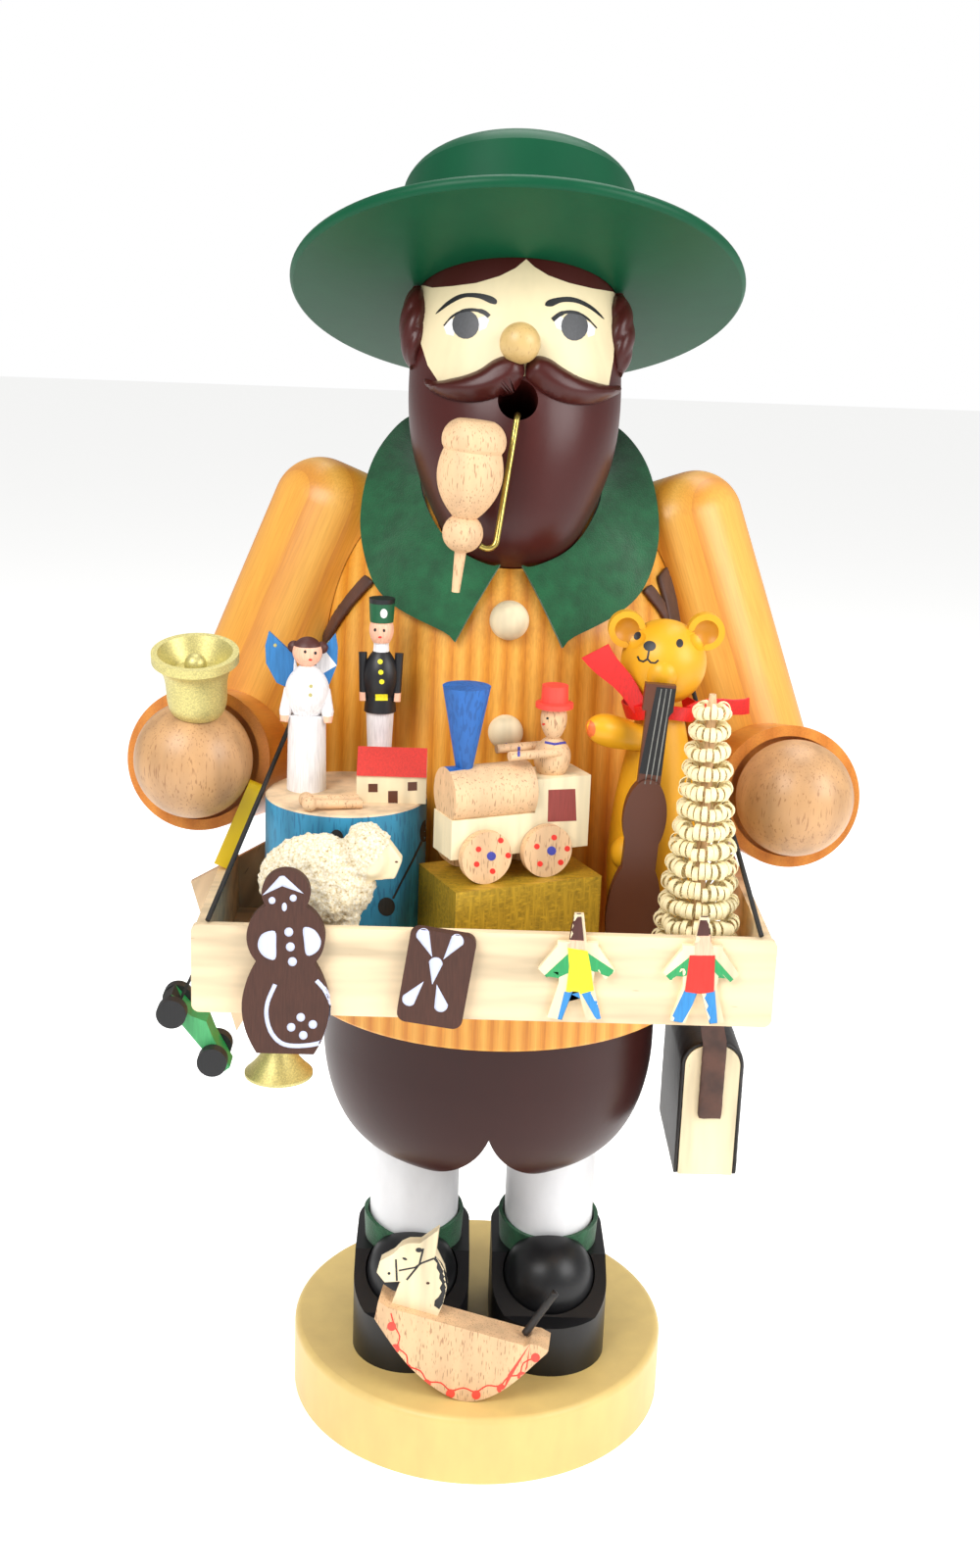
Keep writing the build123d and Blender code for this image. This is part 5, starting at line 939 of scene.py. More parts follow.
@dataclass
class Face:
    """The pedlar's painted face, moustache and carved hair, drawn over the turned head."""

    sight: Sight
    shift_px: Point = (0.0, 0.0)
    panel: tuple[Point, ...] = (
        (426.0, 289.7), (441.4, 293.7), (462.6, 292), (486.2, 288.9), (509.8, 281.9), (526.3, 273.6), (537,
            264.6),
        (545.2, 272.4), (559.4, 281.2), (580.6, 288.9), (604.2, 294.4), (629, 298.4), (628.5, 320.8), (627.1,
            344.4),
        (625.5, 368), (620.3, 397), (600, 396), (575, 388), (552, 376), (534.6, 384), (516, 376), (492, 388),
        (465, 395),
        (449, 392), (436.6, 372.7), (430, 351.5), (427.2, 327.9), (426.5, 306.6))
    left_lobe: tuple[Point, ...] = (
        (534.8, 375.1), (533.4, 369.2), (528.7, 365.2), (521.6, 363.8), (512.2, 364.9), (502.7, 369.2),
        (490.9, 377.5),
        (476.8, 383.4), (462.6, 386.9), (450.8, 389.3), (441.8, 388.8), (435.7, 386.9), (436.6, 393.5),
        (444.9, 401.1),
        (457.9, 407), (474.4, 410), (490.9, 409.3), (507.5, 404.6), (521.6, 397.5), (531, 389.3), (534.8,
            382.2))
    right_lobe: tuple[Point, ...] = (
        (536.0, 382.2), (537.3, 371.6), (542.9, 365.7), (551.1, 364.2), (561.7, 368), (573.5, 376.3), (587.7,
            384.5),
        (604.2, 390.4), (620.7, 394), (630, 394), (628.8, 401), (618.4, 407.7), (604.2, 412.4), (587.7,
            412.9),
        (571.2, 409.3), (554.6, 401), (542.9, 391.6), (537, 386))

    lock_lean: float = 25.5
    lock_share: float = 0.93
    lock_inset_mm: float = 4.8
    lock_radius_mm: float = 6.6
    lock_groove: float = 0.14
    lock_twist: float = 9.0
    lock_flat: float = 0.86
    lock_depth: float = 1.35

    def build(self) -> None:
        """Paints the face, then adds the moustache and the locks."""
        brush = Brush(self.sight, "upper_half", ("head",), self.shift_px, 3.0)
        brush.paint("face_panel", [self.panel], Stock.face, 0.12)
        whites = [[(453.2, 334), (461, 325), (466, 329), (463, 343), (456, 341)], [(488, 325), (497, 322),
            (499, 327), (496, 335), (489, 338)],
                  [(565, 327), (571, 322), (577, 327), (575, 338), (568, 335)], [(598, 327), (607, 335),
                      (606, 342), (600, 344), (597, 335)]]
        brush.paint("eye_whites", whites, Stock.white_paint, 0.17)
        brush.paint("irises", [oval(475.4, 331.4, 13.7, 14.6), oval(586, 333.1, 13.7, 14.8)], Stock.iris,
            0.21)
        lids = [stroke(rounded([(453.2, 332.6), (460.3, 324.4), (469.7, 318.5), (481.5, 316.3), (493.3,
            318.6), (499.2, 323.2)], 4, False), [1.2] * 4 + [2.0] * 5 + [3.2] * 6 + [4.6] * 6),
                stroke(rounded([(563.6, 326.7), (571.2, 320.8), (580.6, 318.4), (592.4, 320.8), (600.7,
                    326.7), (608.5, 335)], 4, False), [4.6] * 6 + [3.2] * 6 + [2.0] * 5 + [1.2] * 4)]
        brows = [rounded([(444.9, 320.8), (455.5, 309), (469.7, 300.7), (486.2, 299.4), (500.4, 302.2), (507,
            306.5), (506, 310.6), (500, 309.6), (488.6, 304.6), (474.4, 303.8), (460.3, 310.2)], 4),
                 rounded([(556, 311.6), (560.6, 305.9), (578.3, 303.1), (592.4, 306.2), (606.6, 314.9), (616,
                     326), (601.9, 315.6), (587.7, 309.3), (573.5, 308.6), (562.9, 312.9)], 4)]
        brush.paint("lids_and_brows", lids + brows, Stock.black_paint, 0.25)
        lobes = Brush(self.sight, "upper_half", ("head",), self.shift_px, 2.5, crown_mm=3.6, crown_px=13.0)
        made = lobes.paint("moustache_lobes", [rounded(self.left_lobe, 3), rounded(self.right_lobe, 3)],
            Stock.beard, 1.0)
        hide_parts("moustache")
        self.locks()

    def locks(self) -> None:
        """Carves the two locks at the temples: a swelling rope of hair with slanting grooves."""
        low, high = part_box("hair_locks")
        middle_y, middle_z = (low.y + high.y) / 2, (low.z + high.z) / 2
        lean = math.radians(self.lock_lean)
        up, front = Vector((0, math.sin(lean), math.cos(lean))), Vector((0, -math.cos(lean), math.sin(lean)))
        long = (high.z - low.z) / math.cos(lean) / MM * self.lock_share
        rings, around = 40, 36
        verts: list[Vector] = []
        faces: list[Sequence[int]] = []
        for side in (-1, 1):
            start = len(verts)
            axis = Vector((side * (high.x - self.lock_inset_mm * MM), middle_y, middle_z))
            for r in range(rings + 1):
                t = r / rings
                swell = self.lock_radius_mm * math.sin(math.pi * min(max(t, 0.02), 0.98)) ** 0.42
                for k in range(around):
                    turn = math.tau * k / around
                    ridge = abs(math.sin(2.0 * turn + side * self.lock_twist * t)) ** 0.6
                    groove = 1 - self.lock_groove + self.lock_groove * ridge
                    across = swell * groove
                    out = Vector((side, 0, 0)) * math.cos(turn) * across * self.lock_flat
                    fore = front * math.sin(turn) * across * self.lock_depth
                    verts.append(axis + (out + fore + up * long * (t - 0.5)) * MM)
            faces += ring_faces(start, rings, around, side < 0)
            for ring_start, flip in ((start, side > 0), (start + rings * around, side < 0)):
                cap = [ring_start + k for k in range(around)]
                faces.append(cap[::-1] if flip else cap)
        made = piece("carved_locks", verts, faces, Stock.beard, "upper_half", 50.0)
        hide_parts("hair_locks")


@dataclass
class Collar:
    """The felt collar: two lobes on the chest that rise round the neck over the shoulders.

    Its edges are tables of (x, y, z) in mm for one half, from the front gap to the middle of the back.
    """

    outer: tuple[tuple[float, float, float], ...] = (
        (17.0, -64, 321), (32, -57.5, 326), (44, -49, 333), (51, -39, 344), (53.5, -29, 357), (51, -17, 373),
        (45, -2, 384), (37, 12, 391), (20, 23, 394), (0, 27, 395))
    inner: tuple[tuple[float, float, float], ...] = (
        (3.5, -60, 347), (12, -54, 352), (20, -46, 358), (26, -38, 364), (29, -29, 369), (30, -18, 372),
        (29, -6, 373), (24, 6, 373), (13, 13, 372), (0, 15, 372))
    rest_mm: float = 1.9
    felt_mm: float = 1.6
    sway_mm: float = 0.35
    rows: int = 14
    steps: int = 6

    def build(self) -> None:
        """Makes the felt sheet, laid clear of the jacket, head and upper arms."""
        def whole(edge: tuple[tuple[float, float, float], ...]) -> list[Vector]:
            """Both halves of an edge, from one side of the gap to the other."""
            left = [(-x, y, z) for x, y, z in edge]
            return [Vector(p) * MM for p in rounded(left + list(edge[-2::-1]), self.steps, False)]

        inner, outer = whole(self.inner), whole(self.outer)
        grid = [[a.lerp(b, r / self.rows) for a, b in zip(inner, outer)] for r in range(self.rows + 1)]
        ground = [(surface_of("jacket"), self.rest_mm), (surface_of("head"), 0.4),
            (surface_of("left_upper_arm"), 0.6), (surface_of("right_upper_arm"), 0.6)]
        draw = random.Random(7)
        waves = [(draw.uniform(2, 6), draw.uniform(0, math.tau)) for _ in range(4)]
        for r, row in enumerate(grid):
            for c, spot in enumerate(row):
                sway = sum(math.sin(k * math.tau * c / len(row) + p) for k,
                    p in waves) * self.sway_mm * MM * r / self.rows
                row[c] = spot + Vector((0, -0.4, 0.9)) * sway
            push_clear(row, ground)
        for _ in range(8):
            for r in range(self.rows + 1):
                low, high = max(r - 1, 0), min(r + 1, self.rows)
                for c in range(1, len(inner) - 1):
                    near = grid[low][c] + grid[high][c] + grid[r][c - 1] + grid[r][c + 1]
                    grid[r][c] = grid[r][c] * 0.4 + near * 0.15
            for row in grid:
                push_clear(row, ground)
        made = sheet_mesh("felt_collar_sheet", grid, self.felt_mm * MM, Stock.felt, "upper_half")
        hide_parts("felt_collar")


@dataclass
class AnkleFelt:
    """One strip of felt wrapped round an ankle, its top edge dipping in front and its end lapped."""

    node: str
    turn: float
    felt_mm: float = 1.5
    dip_mm: float = 2.8
    ripple_mm: float = 0.6
    flare_mm: float = 0.9
    lap_mm: float = 1.1
    lap_reach: float = 0.35
    steps: int = 72

    def build(self) -> None:
        """Makes the wrapped strip inside its CAD ring."""
        low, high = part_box(self.node)
        middle = (low + high) / 2
        radius = (high.x - low.x) / 2 - self.felt_mm * MM
        rows = []
        for share in (0.0, 0.25, 0.5, 0.75, 1.0):
            row = []
            for k in range(self.steps):
                angle = math.tau * k / self.steps
                dip = self.dip_mm * max(0.0, -math.sin(angle)) ** 2 + self.ripple_mm * math.sin(3 * angle
                    + self.turn)
                top = high.z - dip * MM
                flare = radius + self.flare_mm * MM * share * (1 + math.sin(2 * angle + self.turn)) / 2
                lap = self.lap_mm * MM * max(0.0, 1 - abs(angle - self.turn) / self.lap_reach) * share
                reach = flare + lap
                row.append(Vector((middle.x + reach * math.cos(angle), middle.y + reach * math.sin(angle),
                    low.z + (top - low.z) * share)))
            rows.append(row)
        made = sheet_mesh(f"{self.node}_wrap", [r[::-1] for r in rows[::-1]], self.felt_mm * MM, Stock.felt,
            "root", ring=True)
        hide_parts(self.node)


@dataclass(frozen=True)
class TrayCord:
    """One of the two cords that hang the tray from the shoulders, pulled straight by its weight.

    Attributes:
        name: The piece's name.
        route_mm: The route's points as the model has them, from the tray's corner to the shoulder.
        stands_for: The CAD node that it stands for. The first cord stands for both solids.
        diameter: The cord's diameter in metres.
    """

    name: str
    route_mm: tuple[tuple[float, float, float], ...]
    stands_for: str = ""
    diameter: float = 0.0016

    def build(self) -> None:
        """Draws the cord as a thin round curve along its route."""
        curve = bpy.data.curves.new(self.name, "CURVE")
        curve.dimensions = "3D"
        curve.bevel_depth = self.diameter / 2
        curve.bevel_resolution = 3
        curve.use_fill_caps = True
        spline = curve.splines.new("NURBS")
        spline.points.add(len(self.route_mm) - 1)
        for point, spot in zip(spline.points, self.route_mm):
            point.co = (*(Vector(spot) * MM), 1.0)
        spline.order_u = 3
        spline.use_endpoint_u = True
        spline.resolution_u = 8
        curve.materials.append(Stock.cord.material())
        made = add_object(self.name, curve, "upper_half", Stock.cord, self.stands_for)
        start, end = Vector(self.route_mm[0]) * MM, Vector(self.route_mm[-1]) * MM


TRAY_CORDS = (
    TrayCord("left_tray_cord", ((-91.5, -134.5, 246.2), (-77.9, -82.35, 279.05), (-64.3, -30.2, 311.9)),
        "tray_cords"),
    TrayCord("right_tray_cord", ((79.9, -134.5, 246.2), (70.45, -84.9, 282.4), (61.0, -35.3, 318.6))),
)


@dataclass
class CurlTree:
    """The shaved tree: tiers of thin curls on a stick, each curl rolled up and back."""

    tiers: int = 15
    curl_width_mm: float = 2.6
    thickness_mm: float = 0.28
    taper: float = 0.60
    curl_mm: float = 3.1
    curl_taper_mm: float = 0.5
    foot_mm: float = 2.0
    span: float = 0.90
    jitter_mm: float = 0.4
    fill: float = 0.7
    roll_degrees: float = 265.0
    tighten: float = 0.28
    seed: int = 11

    def build(self) -> None:
        """Rolls every curl of every tier, and the stick."""
        low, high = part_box("curl_tree")
        middle = (low + high) / 2
        height = high.z - low.z
        wide = (high.x - low.x) / 2
        draw = random.Random(self.seed)
        verts: list[Vector] = []
        faces: list[Sequence[int]] = []
        for tier in range(self.tiers):
            share = tier / (self.tiers - 1)
            reach = wide * (1 - self.taper * share)
            curl = (self.curl_mm - self.curl_taper_mm * share) * MM
            base = low.z + self.foot_mm * MM + height * self.span * share
            count = max(8, round(math.tau * reach / (self.curl_width_mm * MM)))
            for k in range(count):
                turn = math.tau * (k + 0.5 * (tier % 2)) / count + draw.uniform(-0.03, 0.03)
                foot = Vector((middle.x, middle.y, base + draw.uniform(-self.jitter_mm, self.jitter_mm) * MM))
                out, roll = reach * draw.uniform(0.88, 1.0), curl * draw.uniform(0.8, 1.12)
                self.add_curl(verts, faces, foot, turn, out, roll, math.tau * reach / count * self.fill)
        made = piece("curl_tree_shavings", verts, faces, Stock.shaving, "upper_half", 60.0)
        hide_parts("curl_tree")
        self.stick(middle, low.z, high.z)

    def add_curl(self, verts: list[Vector], faces: list[Sequence[int]], foot: Vector, turn: float,
        reach: float, curl: float, width: float) -> None:
        """Adds one curl: out from the stick, then rolled up and inwards."""
        out = Vector((math.cos(turn), math.sin(turn), 0))
        side = Vector((-math.sin(turn), math.cos(turn), 0))
        line = [(0.0016, 0.0), ((reach - curl) * 0.6, curl * 0.02)]
        steps = 11
        for k in range(steps + 1):
            angle = -math.pi / 2 + math.radians(self.roll_degrees) * k / steps
            bend = curl * (1 - self.tighten * k / steps)
            line.append((reach - curl + bend * math.cos(angle), curl + bend * math.sin(angle)))
        start = len(verts)
        for k, (r, z) in enumerate(line):
            (ar, az), (br, bz) = line[max(k - 1, 0)], line[min(k + 1, len(line) - 1)]
            length = math.hypot(br - ar, bz - az) or 1.0
            normal = (out * -(bz - az) + Vector((0, 0, 1)) * (br - ar)) / length
            half = width / 2 * min(1.0, max(0.12, r / reach))
            spot = foot + out * r + Vector((0, 0, z))
            for u, v in ((-1, 0), (1, 0), (1, 1), (-1, 1)):
                verts.append(spot + side * half * u + normal * self.thickness_mm * MM * v)
        faces += ring_faces(start, len(line) - 1, 4)
        faces.append((start + 3, start + 2, start + 1, start))
        last = start + 4 * (len(line) - 1)
        faces.append((last, last + 1, last + 2, last + 3))

    def stick(self, middle: Vector, foot: float, top: float) -> None:
        """Adds the whittled stick, with its slanting cut top."""
        verts, faces, around = [], [], 10
        for z, radius in ((foot, 2.0), (foot + (top - foot) * 0.5, 1.9), (top - 0.004, 1.5), (top, 1.1)):
            verts += [Vector((middle.x + radius * MM * math.cos(math.tau * k / around),
                middle.y + radius * MM * math.sin(math.tau * k / around), z)) for k in range(around)]
        faces += ring_faces(0, 3, around)
        faces += [tuple(range(around))[::-1], tuple(range(3 * around, 4 * around))]
        piece("curl_tree_stick", verts, faces, Stock.pale_beech, "upper_half", 40.0)


@dataclass
class Toy:
    """What the painted toys share: the photograph's view, and spots painted through it."""

    sight: Sight

    def spots(self, node: str, layers: Sequence[tuple[str, Finish, Sequence[Sequence[Point]]]],
        step_px: float = 3.0, body: str = "upper_half") -> None:
        """Paints named layers of outlines on one node, each layer a little above the last."""
        brush = Brush(self.sight, body, (node,), step_px=step_px, sink_mm=0.04)
        for rank, (name, finish, outlines) in enumerate(layers):
            brush.paint(f"{node}_{name}", outlines, finish, 0.07 + 0.04 * rank)


@dataclass
class Angel(Toy):
    """The turned angel: white dress, pink face and hands, brown hair with buns and blue wings."""

    foot: tuple[float, float, float] = (-65.5, -84.0, 274.9)
    height: float = 46.0
    head: float = 4.9
    hand_rise: float = 25.6
    arm_reach: float = 6.9
    bun_radius: float = 2.3
    fringe: float = 0.42
    parting: float = 0.2

    def build(self) -> None:
        """Paints the figure by place, then its small marks."""
        x0, y0, z0 = self.foot
        crown = Vector((x0, y0, z0 + self.height))

        def choose(spot: Vector, normal: Vector) -> int:
            """White dress, skin, hair or wings."""
            away = math.hypot(spot.x - x0, spot.y - y0)
            bun = min((spot - crown - Vector((side * self.head * 0.92, self.head * 0.22,
                self.head * 0.25))).length for side in (-1, 1))
            if spot.y > y0 + 2.6 and (away > self.arm_reach or spot.z > crown.z - 1) and min(bun,
                (spot - crown).length - 2.8) > 2.2:
                return 3
            if (spot - crown).length < self.head + 0.2 or bun < self.bun_radius:
                front, over = (y0 - spot.y) / self.head, (spot.z - crown.z) / self.head
                return 1 if front > self.parting and over < self.fringe and bun > 2.1 else 2
            return 1 if away > self.arm_reach and spot.z < z0 + self.hand_rise else 0

        cuts = [(crown + Vector((0, 0, self.head * self.fringe)), Vector(UP)),
            (crown - Vector((0, self.head * self.parting, 0)), Vector((0, 1, 0))),
            (Vector((x0, y0, z0 + self.hand_rise)), Vector(UP))]
        painted_copy("angel", (Stock.white_paint, Stock.skin, Stock.hair, Stock.blue_paint), choose, cuts)
        self.spots("angel", [
            ("eyes", Stock.black_paint, [oval(311.4, 665.1, 1.4, 1.7), oval(321.8, 666.4, 1.4, 1.7)]),
            ("mouth", Stock.red, [oval(316.6, 673.2, 1.9, 1.0)]),
            ("buttons", Stock.gold, [oval(317.2, 700.3, 1.9), oval(316.6, 709.2, 1.9)]),
            ("belt", Stock.gold, [oval(280.8, 658.4, 1.8), oval(333.2, 654.0, 1.8)])], 1.6)


@dataclass
class Miner(Toy):
    """The turned miner: white legs, black tunic with yellow buttons, white collar and green shako."""

    foot: tuple[float, float, float] = (-42.2, -71.5, 274.9)
    height: float = 62.1
    radius: float = 5.4
    shares: tuple[float, ...] = (0.388, 0.715, 0.755, 0.874, 0.975)
    hand_drop: float = 13.6

    def build(self) -> None:
        """Paints the figure by height, then its marks."""
        x0, y0, z0 = self.foot
        marks = [z0 + self.height * share for share in self.shares]

        def choose(spot: Vector, normal: Vector) -> int:
            """Black, white, skin or green."""
            if math.hypot(spot.x - x0, spot.y - y0) > self.radius * 1.04 and spot.z < marks[1]:
                return 2 if spot.z < marks[1] - self.hand_drop else 0
            if spot.z < marks[0]:
                return 1
            if spot.z < marks[1]:
                return 0
            if spot.z < marks[2] + 0.5:
                return 1
            if spot.z < marks[3]:
                return 2
            return 3 if spot.z < marks[4] else 0

        cuts = [(Vector((x0, y0, z)), Vector(UP)) for z in (marks[2] + 0.5, marks[4],
            marks[1] - self.hand_drop)]
        painted_copy("miner", (Stock.black_paint, Stock.white_paint, Stock.skin, Stock.dark_green), choose,
            cuts)
        self.spots("miner", [
            ("eyes", Stock.black_paint, [oval(382.8, 642.8, 1.3, 1.7), oval(391.9, 643.4, 1.3, 1.7)]),
            ("mouth", Stock.red, [oval(387.8, 650.2, 1.8, 1.0)]),
            ("badge", Stock.white_paint, [oval(391.6, 626.0, 3.6, 4.8)]),
            ("buttons", Stock.yellow, [oval(388.0, 675.3, 2.5), oval(388.6, 686.0, 2.5),
                oval(389.5, 695.6, 2.5)]),
            ("buckle", Stock.yellow, [[(383.2, 708.5), (395.3, 708.5), (395.3, 710.0), (384.9, 710.0), (384.9,
                713.2), (393.7, 713.2), (393.7, 710.0), (395.3, 710.0), (395.3, 714.8), (383.2, 714.8)]])],
                1.6)


@dataclass
class House(Toy):
    """The toy house: bare lime walls, a red roof and dark openings."""

    eave_z: float = 283.9

    def build(self) -> None:
        """Paints the roof, windows and door."""
        painted_copy("toy_house", (Stock.lime, Stock.roof), lambda spot, normal: 1
            if spot.z > self.eave_z - 0.1 and abs(normal.x) < 0.5 else 0)
        panes = [[(375.8, 799.8), (385.4, 799.8), (385.4, 808.3), (375.8, 808.3)], [(416, 798.2),
            (425.6, 797.8), (425.6, 806.6), (416, 807)],
                 [(396, 807.2), (405.8, 807), (405.8, 819.6), (396, 819.8)]]
        self.spots("toy_house", [("openings", Stock.fiddle, panes)])


@dataclass
class Drum(Toy):
    """The blue-stained drum with a bare top and black zigzag cords."""

    def build(self) -> None:
        """Leaves the top bare and paints the cords."""
        painted_copy("drum", (Stock.blue_stain, Stock.drum_top), lambda spot, normal: 1 if normal.z > 0.5
            else 0)
        cords = [stroke([(431.5, 856), (421, 878), (410, 899), (401, 917)], 2.0),
            stroke([(339, 862), (330, 900)], 2.0)]
        self.spots("drum", [("cords", Stock.black_paint, cords),
            ("tabs", Stock.cord, [oval(433.3, 847.8, 4.6, 11.5, 8), oval(394.3, 925.2, 8.6, 9.6),
                oval(343.3, 855.4, 7, 9)])])


@dataclass
class Sheep(Toy):
    """The sheep: a sawn body in glued wool crumbs, with a bare carved head."""

    face_x: float = -43.6
    face_z: float = 256.0
    leg_z: float = 241.0
    cheek_z: float = 262.0
    cheek_slope: float = 0.95
    voxel_mm: float = 0.55
    crumb_mm: float = 0.95

    def build(self) -> None:
        """Remeshes the body closely and puffs every part but the face and feet."""
        source = frame["nodes"]["sheep"]
        rough = bpy.data.objects.new("sheep_rough", source.data.copy())
        bpy.context.scene.collection.objects.link(rough)
        close = rough.modifiers.new("close", "REMESH")
        close.mode, close.voxel_size = "VOXEL", self.voxel_mm * MM
        ease = rough.modifiers.new("ease", "SMOOTH")
        ease.iterations = 6
        mesh = bpy.data.meshes.new_from_object(rough.evaluated_get(bpy.context.evaluated_depsgraph_get()))
        bpy.data.objects.remove(rough)
        normals = [v.normal.copy() for v in mesh.vertices]
        draw = random.Random(3)
        shift = Vector((draw.random(), draw.random(), draw.random())) * 40
        mesh.materials.clear()
        for finish in (Stock.fleece, Stock.lime):
            mesh.materials.append(finish.material())
        bare = []
        for vertex, normal in zip(mesh.vertices, normals):
            spot = vertex.co / MM
            face = spot.x > self.face_x and self.face_z < spot.z and spot.x - self.face_x > (spot.z
                - self.cheek_z) * self.cheek_slope
            bare.append(face or spot.z < self.leg_z)
            if not bare[-1]:
                puff = 0.55 + 0.75 * noise.noise(spot * 0.55 + shift) + 0.55 * noise.noise(spot * 1.3 + shift)
                vertex.co += normal * max(puff, 0.0) * self.crumb_mm * MM
        for polygon in mesh.polygons:
            polygon.material_index = 1 if all(bare[i] for i in polygon.vertices) else 0
        tidy_mesh(mesh, 80.0)
        add_object("sheep_fleece", mesh, "upper_half", stands_for="sheep")
        self.spots("sheep", [("face", Stock.fiddle, [oval(389, 856.5, 1.7, 1.4), oval(404.5, 879.5, 1.6,
            1.0)])], 1.6)


@dataclass
class Engine(Toy):
    """The locomotive: bare wood, beech boiler, blue funnel, dotted wheels and its driver in a red cap."""

    middle: tuple[float, float, float] = (2.2, -101.5, 254.4)
    turn_degrees: float = 23.7
    deck: float = 275.35
    boiler_top: float = 290.8
    funnel_reach: float = 8.0
    cab_at: float = 4.75
    funnel_at: float = -17.46
    cap_share: float = 0.39
    driver_height: float = 18.6

    def build(self) -> None:
        """Paints the engine, its wheels and the driver."""
        turn = math.radians(self.turn_degrees)
        along, across = Vector((math.cos(turn), math.sin(turn), 0)), Vector((-math.sin(turn), math.cos(turn),
            0))
        middle = Vector(self.middle)

        def choose(spot: Vector, normal: Vector) -> int:
            """Bare body, boiler or funnel, told apart in the engine's own directions."""
            u, v = (spot - middle).dot(along), (spot - middle).dot(across)
            if spot.z > self.boiler_top - 0.4 and math.hypot(u - self.funnel_at, v) < self.funnel_reach:
                return 2
            return 1 if spot.z > self.deck + 0.1 and u < self.cab_at - 0.05 else 0

        painted_copy("locomotive", (Stock.lime, Stock.pale_beech, Stock.funnel_blue), choose)
        self.spots("locomotive", [("panel", Stock.panel_red, [rounded([(559.5, 806), (587, 805), (588.2,
            837.5), (558.8, 838.6)], 1)])])
        left = [(488.3, 866.6), (510.9, 857.6), (518.5, 872.9), (502.6, 889), (486.4, 881.9)]
        right = [(565.4, 854.6), (578.8, 866), (572.1, 880), (551, 881.5), (547.8, 863.7)]
        self.spots("loco_wheels", [("dots", Stock.red, [oval(x, y, 2.9) for x, y in left + right]),
            ("hubs", Stock.ink, [oval(501.4, 873.6, 4.6), oval(562.8, 868.1, 4.6)])], 2.0)
        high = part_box("engine_driver")[1].z / MM
        cap = high - self.driver_height * self.cap_share
        painted_copy("engine_driver", (Stock.pale_beech, Stock.bright_red), lambda spot, normal: 1
            if spot.z > cap - 0.05 else 0)
        self.spots("engine_driver", [
            ("eyes", Stock.black_paint, [oval(558.7, 733.0, 1.3)]), ("mouth", Stock.red,
                [oval(554.8, 739.0, 1.6, 1.0)]),
            ("cuffs", Stock.ink, [stroke([(515.4, 749), (515.0, 758)], 2.4),
                stroke([(529.6, 762), (529.2, 772)], 2.4), stroke([(556, 757.5), (566, 759.5), (578, 757.5)],
                    2.2)])], 1.6)


